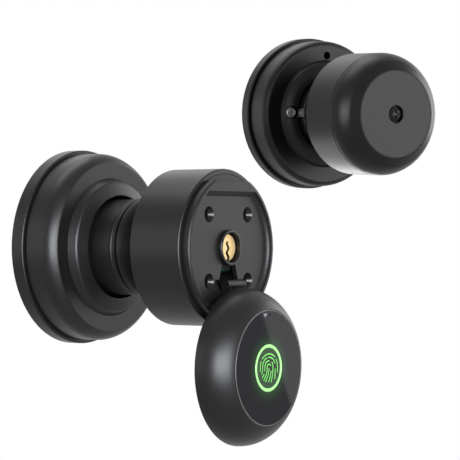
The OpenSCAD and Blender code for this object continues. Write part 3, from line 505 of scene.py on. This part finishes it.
@dataclass(frozen=True)
class Dome:
    """Domed front of the cover or of the battery cap: an arc from the barrel's side to a flat face.

    The arc passes (rim_r, 0) with its centre on the rim's plane and ends at (face_r, depth), so its radius is
    (depth^2 + (rim_r - face_r)^2) / (2 (rim_r - face_r)). Below foot_top the foot's points soften the rim.
    """

    rim_r: float
    face_r: float
    depth: float
    foot_top: float
    foot: tuple[tuple[float, float], ...]
    rim_at: float = 0.0
    wall: float = 1.8

    @property
    def bend(self) -> float:
        """Radius of the arc."""
        drop = self.rim_r - self.face_r
        return (self.depth ** 2 + drop ** 2) / (2 * drop)

    def between(self, radius: float, start: float, end: float, steps: int) -> np.ndarray:
        """Points of a circle of this radius about the arc's centre, between two heights over the rim."""
        low, high = math.degrees(math.asin(start / radius)), math.degrees(math.asin(end / radius))
        return arc(self.rim_r - self.bend, self.rim_at, radius, low, high, steps)

    def outside(self, start: float) -> np.ndarray:
        """Points of the outer face from a height over the rim down to the end of the foot."""
        low = [(r, self.rim_at + height) for r, height in self.foot]
        return np.vstack([self.between(self.bend, start, self.foot_top, 48), low])

    def inside(self, start: float, end: float) -> np.ndarray:
        """Points of the inner face, a wall within the outer one, between two heights over the rim."""
        return self.between(self.bend - self.wall, start, end, 24)


@dataclass(frozen=True)
class BatteryCap:
    """Cap over the cells, in millimetres from the interior door face."""

    dome: Dome = Dome(29.7, 20.9, 12.4, 0.35, ((29.62, 0.12), (29.35, 0)), 65.4)
    dome_front: float = 9.7
    inside_back: float = 1.2
    inside_front: float = 10.6
    plain_r: float = 8.0
    edge_out: float = 0.35
    edge_round: float = 3.2
    edge_end: float = 9.8
    seat_r: float = 4.05
    seat_rim_r: float = 4.2
    seat_depth: float = 1.6
    bore_r: float = 1.4
    boss_r: float = 5.25
    boss_back: float = 71.6
    boss_root: float = 76.0
    skirt_r: float = 27.72
    skirt_in_r: float = 26.22
    skirt_back: float = 61.4
    skirt_root: float = 66.6

    def build(self) -> None:
        """Makes the skirt, dome, flat face with a soft edge and the dished seat of its screw as one shell."""
        dome = self.dome
        face = dome.rim_at + dome.depth
        seat = face - self.seat_depth
        soft = eased([(self.plain_r, face, 0), (dome.face_r + self.edge_out, face, self.edge_round),
                      (*dome.between(dome.bend, self.edge_end, self.edge_end, 1)[0], 0)], 14)
        outline = np.vstack([
            eased([(self.bore_r, self.boss_back, 0), (self.bore_r, seat, 0), (self.seat_r, seat, 0.2),
                   (self.seat_rim_r, face, 0.4), (self.plain_r, face, 0)])[1:-1],
            soft[1:-1], dome.outside(self.dome_front),
            [(self.skirt_r, dome.rim_at), (self.skirt_r, self.skirt_back), (self.skirt_in_r, self.skirt_back),
             (self.skirt_in_r, self.skirt_root)],
            dome.inside(self.inside_back, self.inside_front),
            [(self.boss_r, self.boss_root), (self.boss_r, self.boss_back)],
        ])
        piece = turned("battery_dome", held(outline), INTERIOR)
        settle(piece, SATIN_BLACK, Body.CAP, "battery_cap")


@dataclass(frozen=True)
class SensorCover:
    """Open cover with its glass, light ring, pad and index mark, in millimetres from its own rim."""

    dome: Dome = Dome(29.7, 21.8, 12.7, 0.3, ((29.66, 0.12), (29.55, 0.03), (29.4, 0)))
    front: float = 12.68
    seat_r: float = 19.85
    seat_back: float = 10.7
    seat_front: float = 11.5
    lens_hole_r: float = 21.65
    edge_r: float = 21.7
    edge_back: float = 12.6
    mouth_r: float = 28.05
    mouth_depth: float = 3.7
    mouth_edge: float = 0.1
    glass_r: float = 21.15
    glass_in_r: float = 8.87
    glass_back: float = 11.52
    glass_front: float = 12.66
    ring_in_r: float = 7.6
    ring_out_r: float = 8.8
    pad_r: float = 7.53
    pad_back: float = 10.61
    pad_front: float = 12.63
    hole_r: float = 0.45
    hole_back: float = 12.6
    hole_front: float = 12.67
    hole_x: float = 0.6
    hole_y: float = 19.8
    mark_x: float = -2.3
    mark_y: float = 20.2
    axis_r: float = 0.02

    def shell(self) -> None:
        """Skirt, dome and the seat of the lens."""
        outline = np.vstack([
            [(self.seat_r, self.seat_back), (self.seat_r, self.seat_front),
             (self.lens_hole_r, self.seat_front), (self.lens_hole_r, self.edge_back),
             (self.edge_r, self.front), (self.dome.face_r, self.front)],
            self.dome.outside(self.edge_back),
            [(self.mouth_r + self.mouth_edge, 0), (self.mouth_r, self.mouth_edge),
             (self.mouth_r, self.mouth_depth)],
            self.dome.inside(self.mouth_depth, self.seat_back),
        ])
        settle(turned("cover_dome", held(outline), COVER), SATIN_BLACK, Body.COVER, "cover_shell")

    def front_piece(self, name: str, node: str, finish: "Finish", outline: np.ndarray,
                    steps: int = 256) -> None:
        """Turns and finishes one flat piece of the front, which stands for a node."""
        settle(turned(name, held(outline, 0.05), COVER, steps), finish, Body.COVER, node)

    def hole(self) -> None:
        """Black disc near the top of the glass: painted shade that stands for the microphone hole."""
        outline = slab(self.axis_r, self.hole_r, self.hole_back, self.hole_front)
        seat = Seat(self.hole_x, -COVER_RIM, self.hole_y - COVER_DROP)
        settle(turned("microphone_hole", outline, seat, 48), HOLE_SHADE_BLACK, Body.COVER)

    def mark(self) -> None:
        """Small pale triangle printed at the top of the lens."""
        top, x, y = self.dome.depth, self.mark_x, self.mark_y
        outline = np.array([(x - 1.5, y), (x + 1.3, y + 0.1), (x - 0.1, y - 1.3)])
        points = np.vstack([np.column_stack([outline, np.full(3, a)]) for a in (top - 0.1, top)])
        faces = np.array([(0, 2, 1), (3, 4, 5), (0, 1, 4), (0, 4, 3),
                          (1, 2, 5), (1, 5, 4), (2, 0, 3), (2, 3, 5)])
        settle(mesh_piece("index_mark", points, faces, COVER, smooth=False), MARK_GREY, Body.COVER)

    def build(self) -> None:
        """Makes the shell, the glass with a black disc of painted shade for its hole, the crowned light ring,
        the lower pad with its painted glow and the signs.
        """
        self.shell()
        self.front_piece("lens_glass", "lens", LENS_BLACK_PAINTED_GLOW, slab(
            self.glass_in_r, self.glass_r, self.glass_back, self.glass_front, 0.14, 0.08))
        self.hole()
        self.front_piece("light_ring_turned", "light_ring", RING_GREEN, slab(
            self.ring_in_r, self.ring_out_r, self.pad_back, self.front, 0.3, 0.3))
        self.front_piece("sensor_pad_turned", "sensor_pad", PAD_BLACK_PAINTED_GLOW, slab(
            self.axis_r, self.pad_r, self.pad_back, self.pad_front, 0.12), 128)
        FingerSign(self.dome.depth).build()
        self.mark()


# ---- fingerprint sign


def bead(path: np.ndarray, half: float, rise: float, top: float,
         sides: int = 12) -> tuple[np.ndarray, np.ndarray]:
    """A slim raised line along a path, oval in section and rounded at both ends.

    At a distance d from the nearer end the section is scaled by sqrt(1 - (1 - d / half)^2), and by 1 beyond
    half. Point j of a section lies half cos(t_j) to the side of the path and rise sin(t_j) over its middle.

    Args:
        path: (x, y) rows, closer together than half near the ends.
        half: Half of the line's width.
        rise: Half of its height.
        top: Distance of its crest in front of the seat.
        sides: Points in each section.

    Returns:
        Points (x, y, a) and triangle rows.
    """
    run = np.concatenate([[0], np.cumsum(np.linalg.norm(np.diff(path, axis=0), axis=1))])
    ends = half * (1 - np.cos(np.radians(np.arange(15, 91, 15))))
    where = np.unique(np.concatenate([ends, run[(run > half) & (run < run[-1] - half)], run[-1] - ends]))
    spot = np.stack([np.interp(where, run, path[:, k]) for k in (0, 1)], axis=1)
    ahead = np.gradient(spot, axis=0)
    ahead /= np.linalg.norm(ahead, axis=1, keepdims=True)
    side = np.stack([-ahead[:, 1], ahead[:, 0]], axis=1)
    depth = np.minimum(np.minimum(where, run[-1] - where) / half, 1)
    scale = np.sqrt(1 - (1 - depth) ** 2)
    t = np.linspace(0, 2 * math.pi, sides, endpoint=False)
    flat = spot[:, None] + (half * scale)[:, None, None] * np.cos(t)[None, :, None] * side[:, None]
    high = top - rise + rise * scale[:, None] * np.sin(t)[None]
    rows = len(spot)
    points = np.concatenate([flat, high[:, :, None]], axis=2).reshape(-1, 3)
    tips = np.array([[*path[0], top - rise], [*path[-1], top - rise]])
    i, j = np.meshgrid(np.arange(rows - 1), np.arange(sides), indexing="ij")
    a, b = i * sides + j, i * sides + (j + 1) % sides
    walls = np.stack([a, b, b + sides, a, b + sides, a + sides], axis=2).reshape(-1, 3)
    k = np.arange(sides)
    first = np.stack([np.full(sides, rows * sides), (k + 1) % sides, k], axis=1)
    last = (rows - 1) * sides
    final = np.stack([np.full(sides, rows * sides + 1), last + k, last + (k + 1) % sides], axis=1)
    return np.vstack([points, tips]), np.vstack([walls, first, final])


@dataclass(frozen=True)
class FingerSign:
    """A plain fingerprint sign: nested arches over a point, with legs that fan out to the left further down.

    Arch i is half an ellipse about (0, lift) whose half axes are wide + wide_step i and tall + tall_step i.
    A leg from (x, 0) passes (x - (drift - fan x) d^2, -d) at a depth d below the middle, and is straight
    above it.
    """

    top: float
    wide: float = 1.16
    wide_step: float = 1.48
    tall: float = 0.76
    tall_step: float = 1.28
    lift: float = 0.64
    drift: float = 0.095
    fan: float = 0.019
    half: float = 0.26
    rise: float = 0.05

    def arch(self, i: int, start: float, end: float) -> np.ndarray:
        """Part of an arch between two angles, counted from the right-hand side."""
        unit = arc(0, 0, 1, start, end, max(4, int(abs(end - start) / 8)))
        return unit * (self.wide + self.wide_step * i, self.tall + self.tall_step * i) + (0, self.lift)

    def leg(self, x: float, start: float, end: float) -> np.ndarray:
        """Part of a leg between two depths below the middle."""
        d = np.linspace(start, end, 14)
        return np.stack([x - (self.drift - self.fan * x) * np.maximum(d, 0) ** 2, -d], axis=1)

    def stroke(self, i: int, start: float, side: int, deep: float) -> np.ndarray:
        """An arch from an angle to its left (-1) or right (1) end, with the leg under that end."""
        x = side * (self.wide + self.wide_step * i)
        bow = self.arch(i, start, 180 if side < 0 else 0)
        return np.vstack([bow, self.leg(x, -self.lift, deep)[1:]])

    def paths(self) -> list[np.ndarray]:
        """The middle line of every stroke, from the innermost arch outwards."""
        x = [self.wide + self.wide_step * i for i in range(4)]
        return [
            self.stroke(0, 0, -1, 4.5), self.leg(0.1, 0.1, 5.1), self.leg(1.3 * x[0], 1.0, 5.3),
            self.stroke(1, 82, -1, 1.2), self.leg(-x[1], 1.9, 3.5), self.stroke(1, 50, 1, 5.4),
            self.stroke(2, 106, -1, 2.2), self.arch(2, 96, 14), self.leg(x[2], 0.3, 4.4),
            self.arch(3, 143, 44), self.stroke(3, 34, 1, 2.1), self.stroke(3, 152, -1, 1.1),
        ]

    def build(self) -> None:
        """Makes the sign as one piece on the sensor pad."""
        points, faces, count = [], [], 0
        for path in self.paths():
            p, f = bead(path, self.half, self.rise, self.top)
            points.append(p)
            faces.append(f + count)
            count += len(p)
        piece = mesh_piece("finger_sign", np.vstack(points), np.vstack(faces), COVER)
        settle(piece, SIGN_GREEN, Body.COVER)


# ---- shader arithmetic


@dataclass(frozen=True)
class Sum:
    """An output socket in shader arithmetic: the usual operators on it add Math nodes to its tree."""

    shader: "Shader"
    socket: NodeSocket

    def _math(self, operation: str, *values: Number) -> "Sum":
        """The result of one Math node on these values."""
        made = self.shader.node("Math", {"operation": operation}, dict(enumerate(values)))
        return Sum(self.shader, made.outputs[0])

    def __add__(self, other: Number) -> "Sum":
        """self + other."""
        return self._math("ADD", self, other)

    __radd__ = __add__

    def __sub__(self, other: Number) -> "Sum":
        """self - other."""
        return self._math("SUBTRACT", self, other)

    def __rsub__(self, other: Number) -> "Sum":
        """other - self."""
        return self._math("SUBTRACT", other, self)

    def __mul__(self, other: Number) -> "Sum":
        """self * other."""
        return self._math("MULTIPLY", self, other)

    __rmul__ = __mul__

    def __pow__(self, power: float) -> "Sum":
        """self to a constant power."""
        return self._math("POWER", self, power)

    def size(self) -> "Sum":
        """The value without its sign."""
        return self._math("ABSOLUTE", self)

    def clamp(self) -> "Sum":
        """The value held between 0 and 1."""
        return self._math("MINIMUM", self._math("MAXIMUM", self, 0.0), 1.0)


@dataclass(frozen=True)
class Shader:
    """A node tree that is being written."""

    tree: NodeTree

    def node(self, kind: str, settings: Optional[dict[str, object]] = None,
             feeds: Optional[dict[Union[str, int], Feed]] = None) -> Node:
        """Adds a node.

        Args:
            kind: Its type, after the word ShaderNode.
            settings: Its own settings, which are set first.
            feeds: Values or links of its sockets, by name or number.

        Returns:
            The node.
        """
        made = self.tree.nodes.new("ShaderNode" + kind)
        for name, value in (settings or {}).items():
            setattr(made, name, value)
        return self.feed(made, feeds or {})

    def feed(self, node: Node, feeds: dict[Union[str, int], Feed]) -> Node:
        """Gives a node's sockets these values or links, and returns the node."""
        for name, value in feeds.items():
            source = value.socket if isinstance(value, Sum) else value
            if isinstance(source, NodeSocket):
                self.tree.links.new(source, node.inputs[name])
            else:
                node.inputs[name].default_value = source
        return node

    def place(self) -> tuple[Sum, Sum, Sum]:
        """The three object coordinates, in metres."""
        axes = self.node("SeparateXYZ", feeds={0: self.node("TexCoord").outputs["Object"]})
        return Sum(self, axes.outputs[0]), Sum(self, axes.outputs[1]), Sum(self, axes.outputs[2])

    def noise(self, size_mm: float) -> Sum:
        """Noise from 0 to 1 whose cells are about size_mm across, on object coordinates."""
        where = self.node("TexCoord").outputs["Object"]
        made = self.node("TexNoise", feeds={"Vector": where, "Scale": 1 / (size_mm * MM), "Detail": 2.0})
        return Sum(self, made.outputs[0])

    def tinted(self, level: Sum, colour: Colour) -> NodeSocket:
        """A colour scaled by a level."""
        return self.node("CombineColor", feeds={i: level * part for i, part in enumerate(colour)}).outputs[0]


# ---- finishes


@dataclass(frozen=True)
class Finish:
    """One finish of the lock: a Principled surface with a fine grain in its roughness and relief.

    The roughness is base + swing * (noise - 0.5) with a noise of grain_mm; the relief is the same noise,
    relief_mm deep, fed to a Bump node.
    """

    name: str
    slot: str
    colour: Colour
    roughness: float
    metallic: float = 0.0
    grain_mm: float = 0.6
    swing: float = 0.06
    relief_mm: float = 0.0
    specular: float = 0.5

    def surface(self) -> Material:
        """The finish's material, made on first use."""
        made = bpy.data.materials.get(self.name)
        if made:
            return made
        made = bpy.data.materials.new(self.name)
        made.use_nodes = True
        made.diffuse_color = (*self.colour, 1.0)
        shader = Shader(made.node_tree)
        grain = shader.noise(self.grain_mm)
        body = shader.feed(made.node_tree.nodes["Principled BSDF"], {
            "Base Color": (*self.colour, 1.0),
            "Metallic": self.metallic,
            "Specular IOR Level": self.specular,
            "Roughness": (grain - 0.5) * self.swing + self.roughness,
        })
        if self.relief_mm > 0:
            deep = self.relief_mm * MM
            bump = shader.node("Bump", feeds={"Strength": 1.0, "Distance": deep, "Height": grain})
            shader.feed(body, {"Normal": bump.outputs["Normal"]})
        self.dress(shader, body)
        return made

    def dress(self, shader: Shader, body: Node) -> None:
        """Adds what only this finish has; the plain finish adds nothing."""


@dataclass(frozen=True)
class Glow(Finish):
    """A finish that gives its own light, in a stronger shade of its colour."""

    light: Colour = (1.0, 1.0, 1.0)

    def dress(self, shader: Shader, body: Node) -> None:
        """Sets the emission colour."""
        shader.feed(body, {"Emission Color": (*self.light, 1.0), "Emission Strength": 1.0})


@dataclass(frozen=True)
class PaintedRingGlow(Finish):
    """Dark glass with a painted glow: emission that stands in for the light ring's spilled light.

    At a distance r from the ring's middle the glow is clamp(1 - |r - ring| / reach)^fade + floor.
    """

    ring_mm: float = 8.8
    reach_mm: float = 6.0
    fade: float = 2.2
    floor: float = 0.0
    tint: Colour = (0.02, 0.1, 0.02)

    def dress(self, shader: Shader, body: Node) -> None:
        """Links the emission colour, the painted glow, to the distance from the ring."""
        across, _, height = shader.place()
        r = (across ** 2 + (height + COVER_DROP * MM) ** 2) ** 0.5
        painted_spill = (1 - (r - self.ring_mm * MM).size() * (1 / (self.reach_mm * MM))).clamp() ** self.fade
        shader.feed(body, {"Emission Color": shader.tinted(painted_spill + self.floor, self.tint),
                           "Emission Strength": 1.0})


@dataclass(frozen=True)
class Drilled(Finish):
    """The front plate's finish, smoother in its four countersinks at (+-spot_mm, +-spot_mm)."""

    spot_mm: float = 12.5
    reach_mm: float = 3.1
    edge_mm: float = 0.1
    smoother: float = 0.22

    def dress(self, shader: Shader, body: Node) -> None:
        """Takes smoother off the roughness within reach of a countersink's middle, fading over edge_mm."""
        across, _, height = shader.place()
        x, z = across.size() - self.spot_mm * MM, height.size() - self.spot_mm * MM
        r = (x ** 2 + z ** 2) ** 0.5
        near = ((self.reach_mm * MM - r) * (1 / (self.edge_mm * MM))).clamp()
        plain = Sum(shader, body.inputs["Roughness"].links[0].from_socket)
        shader.feed(body, {"Roughness": plain - near * self.smoother})


@dataclass(frozen=True)
class KeywayShade(Finish):
    """The key plug's finish: brass on its face, with painted shade inside the keyway.

    At a depth d, counted from slack_mm behind the face, the colour and the metal share are scaled by
    1 - clamp(d / fade_mm).
    """

    face_mm: float = 74.2
    slack_mm: float = 0.03
    fade_mm: float = 0.35

    def dress(self, shader: Shader, body: Node) -> None:
        """Links the base colour and the metal share to the depth, which paints the shade inside the keyway.
        """
        depth = shader.place()[1] + (self.face_mm - self.slack_mm) * MM
        unshaded = 1 - (depth * (1 / (self.fade_mm * MM))).clamp()
        shader.feed(body, {"Base Color": shader.tinted(unshaded, self.colour),
                           "Metallic": unshaded * self.metallic})


SATIN_BLACK = Finish("satin_black_lacquer", "satin_black", (0.003, 0.0029, 0.0028), 0.36, grain_mm=0.45,
                     swing=0.05, relief_mm=0.004, specular=0.18)
PLATE_BLACK = Drilled("satin_black_plate", "satin_black", (0.003, 0.0029, 0.0028), 0.42, grain_mm=0.45,
                      swing=0.05, relief_mm=0.005, specular=0.18)
# Darker, less glossy copy of the satin black: painted shade on the hinge parts under the cover.
HINGE_SHADED_BLACK = Finish("dark_hinge", "satin_black", (0.002, 0.002, 0.002), 0.32, specular=0.12)
# Near-black with almost no sheen, so the cylinder body reads as the shade behind the front plate's slot:
# painted shade.
CYLINDER_SHADE_BLACK = Finish("matt_black_casting", "dark_plastic", (0.004, 0.004, 0.004), 0.7, specular=0.05)
STEEL = Finish("brushed_steel", "steel", (0.24, 0.24, 0.245), 0.42, metallic=1.0, swing=0.15)
ZINC = Finish("dull_zinc", "steel", (0.3, 0.3, 0.31), 0.45, metallic=0.6)
# Brass darkened to black just behind its face: painted shade inside the keyway.
BRASS_KEYWAY_SHADE = KeywayShade("plain_brass", "brass", (0.38, 0.27, 0.12), 0.38, metallic=0.55, swing=0.12)
DARK_PLASTIC = Finish("dark_plastic", "dark_plastic", (0.03, 0.03, 0.033), 0.5)
BOARD = Finish("board_green", "board_green", (0.01, 0.09, 0.035), 0.4)
# The lens and the pad carry a painted green glow from the light ring; the pad also glows all over at its
# floor level.
LENS_BLACK_PAINTED_GLOW = PaintedRingGlow("gloss_black_lens", "gloss_black", (0.006, 0.006, 0.0063), 0.02, swing=0.01, specular=0.045,
                  tint=(0.012, 0.055, 0.012))
PAD_BLACK_PAINTED_GLOW = PaintedRingGlow("gloss_black_pad", "gloss_black", (0.008, 0.01, 0.008), 0.3, swing=0.02, specular=0.05,
                 ring_mm=7.6, reach_mm=4.4, fade=1.4, floor=0.12, tint=(0.016, 0.062, 0.014))
BEZEL_BLACK = Finish("gloss_black_rim", "gloss_black", (0.02, 0.02, 0.021), 0.3)
MARK_GREY = Finish("pale_print", "steel", (0.085, 0.085, 0.088), 0.5)
# A black disc put where the microphone hole's shade would be: painted shade.
HOLE_SHADE_BLACK = Finish("deep_black", "gloss_black", (0.002, 0.002, 0.002), 0.9, specular=0.1)
SIGN_GREEN = Glow("sign_green", "glow_green", (0.02, 0.1, 0.01), 0.4, light=(0.09, 0.5, 0.045))
CELL = Finish("cell_wrap", "cell_grey", (0.1, 0.11, 0.13), 0.35)
RING_GREEN = Glow("ring_green", "glow_green", (0.06, 0.12, 0.05), 0.4, light=(0.29, 0.7, 0.17))

NODE_FINISH: dict[Finish, tuple[str, ...]] = {
    SATIN_BLACK: ("ext_base_ring", "ext_rose", "ext_neck", "ext_bell", "ext_barrel", "key_collar",
                  "cover_shell", "cover_back", "int_base_ring", "int_rose", "int_neck", "int_bell",
                  "int_barrel", "battery_cap", "cap_screw"),
    PLATE_BLACK: ("front_plate",),
    HINGE_SHADED_BLACK: ("hinge_bracket", "hinge_link", "hinge_screws", "plate_hinge_pin", "cover_hinge_pin"),
    STEEL: ("ext_mount_plate", "ext_retaining_ring", "ext_return_spring", "plate_screws", "plug_clip",
            "key_tail", "drive_hub", "clutch_pin", "clutch_motor", "cover_screws", "int_mount_plate",
            "int_retaining_ring", "spindle", "spindle_hub", "knob_catch", "tray_screws", "battery_contacts"),
    ZINC: ("mounting_screws",),
    BRASS_KEYWAY_SHADE: ("key_plug",),
    CYLINDER_SHADE_BLACK: ("cylinder_body",),
    DARK_PLASTIC: ("clutch_housing", "battery_tray"),
    BOARD: ("main_board", "sensor_board"),
    LENS_BLACK_PAINTED_GLOW: ("lens",),
    PAD_BLACK_PAINTED_GLOW: ("sensor_pad",),
    BEZEL_BLACK: ("lens_bezel",),
    CELL: ("batteries",),
    RING_GREEN: ("light_ring",),
}


def wear(piece: Object, finish: Finish) -> None:
    """Gives the piece this finish."""
    piece.data.materials.clear()
    piece.data.materials.append(finish.surface())
    LOG.info("%s: %d faces in %s", piece.name, len(piece.data.polygons), finish.name)


def settle(piece: Object, finish: Finish, body: Body, *nodes: str) -> None:
    """Finishes a new piece, hangs it on its body and lets it stand for CAD nodes.

    Args:
        piece: The new object.
        finish: Its finish.
        body: The body it moves with.
        nodes: The CAD nodes that it replaces.
    """
    wear(piece, finish)
    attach(piece, body.value)
    if nodes:
        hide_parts(*nodes)


def dress_nodes(nodes: dict[str, Object]) -> None:
    """Gives every CAD node its finish."""
    for finish, names in NODE_FINISH.items():
        for name in names:
            wear(nodes[name], finish)


# ---- studio


class Lit(Enum):
    """The groups of pieces that a lamp may be kept to."""

    LOCK = "whole_lock"
    EXTERIOR = "exterior_half"
    KNOB = "interior_knob"
    ROSE = "interior_rose"


AT_DOOR = ("int_base", "int_rose", "mounting_screws", "spindle")
BETWEEN_X = 0.12


def split_lock() -> dict[Lit, Collection]:
    """Groups for the lamps: all of the lock, its exterior half, and the interior half's knob and door side.

    A piece belongs to the exterior half where its box's middle is left of BETWEEN_X.
    """
    groups = {lit: bpy.data.collections.new(lit.value) for lit in Lit}
    for piece in bpy.context.scene.objects:
        if piece.type != "MESH" or piece.name == "floor":
            continue
        middle = sum((Vector(corner) for corner in piece.bound_box), Vector()) / 8
        at_door = any(part in piece.name for part in AT_DOOR)
        own = Lit.EXTERIOR if middle.x < BETWEEN_X else Lit.ROSE if at_door else Lit.KNOB
        groups[Lit.LOCK].objects.link(piece)
        groups[own].objects.link(piece)
    return groups


def around(azimuth: float, elevation: float, reach: float, centre: Vector) -> Vector:
    """The point at an azimuth (0 in front of the exterior knob, less to its left), elevation and reach."""
    a, e = math.radians(azimuth), math.radians(elevation)
    return centre + reach * Vector((math.sin(a) * math.cos(e), -math.cos(a) * math.cos(e), math.sin(e)))


@dataclass(frozen=True)
class Lamp:
    """A soft rectangular lamp, with its group, place, aim, size in metres and power in watts."""

    name: str
    lights: Optional[Lit]
    place: Vector
    aim: Vector
    size: tuple[float, float]
    power: float
    colour: Colour = (1.0, 1.0, 1.0)

    def build(self) -> Object:
        """Makes the lamp and returns it."""
        light = bpy.data.lights.new(self.name, "AREA")
        light.shape = "RECTANGLE"
        light.size, light.size_y = self.size
        light.energy = self.power
        light.color = self.colour
        lamp = bpy.data.objects.new(self.name, light)
        lamp.rotation_mode = "QUATERNION"
        lamp.location = self.place
        lamp.rotation_quaternion = (self.aim - self.place).to_track_quat("-Z", "Y")
        bpy.context.scene.collection.objects.link(lamp)
        return lamp


@dataclass(frozen=True)
class Studio:
    """Camera, pale floor, white surroundings and soft lamps. Lengths in metres."""

    azimuth: float = -54.8
    right: float = 0.06148
    up: float = 0.00665
    distance: float = 0.85
    sensor_mm: float = 36.0
    focal_mm: float = 168.05
    floor_z: float = -0.32
    floor_half: float = 7.0
    floor_grey: float = 0.8
    sky_grey: float = 0.06
    window_side: float = 2.2
    window_raised: float = 0.25
    window_glow: float = 3.0

    def camera(self) -> None:
        """Level camera that looks at the lock from its azimuth."""
        back, right = (around(self.azimuth + turn, 0, 1, Vector()) for turn in (0, 90))
        lens = bpy.data.cameras.new("camera")
        lens.sensor_width, lens.lens = self.sensor_mm, self.focal_mm
        lens.clip_start, lens.clip_end = 0.01, 100
        eye = bpy.data.objects.new("camera", lens)
        eye.location = right * self.right + back * self.distance + Vector((0, 0, self.up))
        eye.rotation_mode = "QUATERNION"
        eye.rotation_quaternion = (-back).to_track_quat("-Z", "Y")
        bpy.context.scene.collection.objects.link(eye)
        bpy.context.scene.camera = eye

    def whitened(self, tree: NodeTree, plain: str, white: str, output: str, grey: float) -> None:
        """Fills a tree with a plain grey that is white for the rays that show the background.

        Those are the camera's own rays, and the ones that metal mirrors or glass lets through.

        Args:
            tree: The tree, which is cleared first.
            plain, white: Types of the two nodes that give the grey and the white.
            output: Type of the output node.
            grey: Level of the grey.
        """
        tree.nodes.clear()
        shader = Shader(tree)
        ray = shader.node("LightPath")
        camera, glossy, passed = (Sum(shader, ray.outputs[f"Is {kind} Ray"])
                                  for kind in ("Camera", "Glossy", "Transmission"))
        mix = shader.node("MixShader", feeds={
            0: (camera + glossy + passed).clamp(),
            1: shader.node(plain, feeds={"Color": (grey, grey, grey, 1)}).outputs[0],
            2: shader.node(white, feeds={"Color": (1, 1, 1, 1)}).outputs[0],
        })
        shader.node(output, feeds={"Surface": mix.outputs[0]})

    def surroundings(self) -> None:
        """White world, dim as a light, and a pale floor."""
        world = bpy.data.worlds.new("studio")
        bpy.context.scene.world = world
        world.use_nodes = True
        self.whitened(world.node_tree, "Background", "Background", "OutputWorld", self.sky_grey)
        pale = bpy.data.materials.new("pale_floor")
        pale.use_nodes = True
        self.whitened(pale.node_tree, "BsdfDiffuse", "Emission", "OutputMaterial", self.floor_grey)
        corners = [(x * self.floor_half, y * self.floor_half, self.floor_z)
                   for x, y in ((-1, -1), (1, -1), (1, 1), (-1, 1))]
        mesh = bpy.data.meshes.new("floor")
        mesh.from_pydata(corners, [], [(0, 1, 2, 3)])
        mesh.materials.append(pale)
        floor = bpy.data.objects.new("floor", mesh)
        bpy.context.scene.collection.objects.link(floor)

    def window(self) -> Object:
        """Large soft lamp to the right, whose slanting left edge the cover's glass mirrors as a diagonal.

        That edge passes a point and leans along a direction, the lamp faces the knob, and its power is its
        glow times pi times its area.
        """
        edge, knob, lean = Vector((2.0, -1.435, -0.19)), Vector((0, -0.09, -0.03)), Vector((-0.484, 0, 0.875))
        facing = (knob - edge).normalized()
        up = (lean - facing * lean.dot(facing)).normalized()
        out = facing.cross(up)
        side = self.window_side
        centre = edge + out * (side / 2) + up * self.window_raised
        power = self.window_glow * math.pi * side ** 2
        lamp = Lamp("right_window", Lit.LOCK, centre, centre + facing, (side, side), power).build()
        lamp.rotation_quaternion = Matrix((out, up, -facing)).transposed().to_quaternion()
        return lamp

    def lamps(self) -> list[Lamp]:
        """Every lamp but the window."""
        knob, cap, lock = Vector((0, -0.06, 0)), Vector((0.24, 0.0, 0.06)), Vector((0.12, 0, 0))
        cool = (0.9, 0.93, 1.0)
        return [
            Lamp("back_high", Lit.LOCK, around(145, 35, 1.6, lock), lock, (0.9, 0.6), 1.5),
            Lamp("left_wall", Lit.EXTERIOR, around(-118, 4, 1.8, knob), knob, (1.6, 1.6), 13.8),
            Lamp("left_strip", Lit.EXTERIOR, around(-38, 4, 1.5, knob), knob, (1.3, 0.8), 108, cool),
            Lamp("front_wall", Lit.EXTERIOR, around(30, 0, 2.4, knob), knob, (1.7, 2.2), 7.8),
            Lamp("cap_panel", Lit.KNOB, around(10, 0, 1.2, cap), cap, (0.8, 0.8), 12.4),
            Lamp("back_low", Lit.KNOB, Vector((0.62, 0.6, -0.24)), cap, (0.7, 0.15), 2.0),
            Lamp("cap_side", Lit.KNOB, around(-93, 0, 1.2, cap), cap, (0.8, 0.6), 16),
            Lamp("rose_side", Lit.ROSE, around(-135, 0, 1.2, cap), cap, (2.0, 0.8), 6),
            Lamp("rose_left", Lit.ROSE, around(-60, 0, 1.2, cap), cap, (0.8, 0.8), 5),
            Lamp("rose_panel", Lit.ROSE, around(10, 0, 1.2, cap), cap, (1.2, 0.9), 16),
            Lamp("top_bank", None, Vector((0.25, 0.5, 1.7)), lock, (1.6, 1.0), 20),
        ]

    def build(self) -> None:
        """Makes the camera, world, floor and lamps, and keeps each lamp to its group."""
        self.camera()
        self.surroundings()
        hung = [(self.window(), Lit.LOCK)]
        hung += [(lamp.build(), lamp.lights) for lamp in self.lamps()]
        groups = split_lock()
        for light, lit in hung:
            if lit:
                light.visible_camera = False
                light.light_linking.receiver_collection = groups[lit]


# ---- the whole lock


def main() -> None:
    """Loads the solids, dresses them and sets up the studio."""
    logging.basicConfig(level=logging.INFO, format="%(name)s %(message)s")
    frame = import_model()
    dress_nodes(frame["nodes"])
    OUTSIDE.build()
    INSIDE.build()
    OUTSIDE.rose()
    INSIDE.rose_of(frame["nodes"]["int_rose"])
    BatteryCap().build()
    KeyCollar().build()
    SensorCover().build()
    Studio().build()
    bpy.context.scene.view_settings.view_transform = "Standard"


if __name__ == "__main__":
    main()
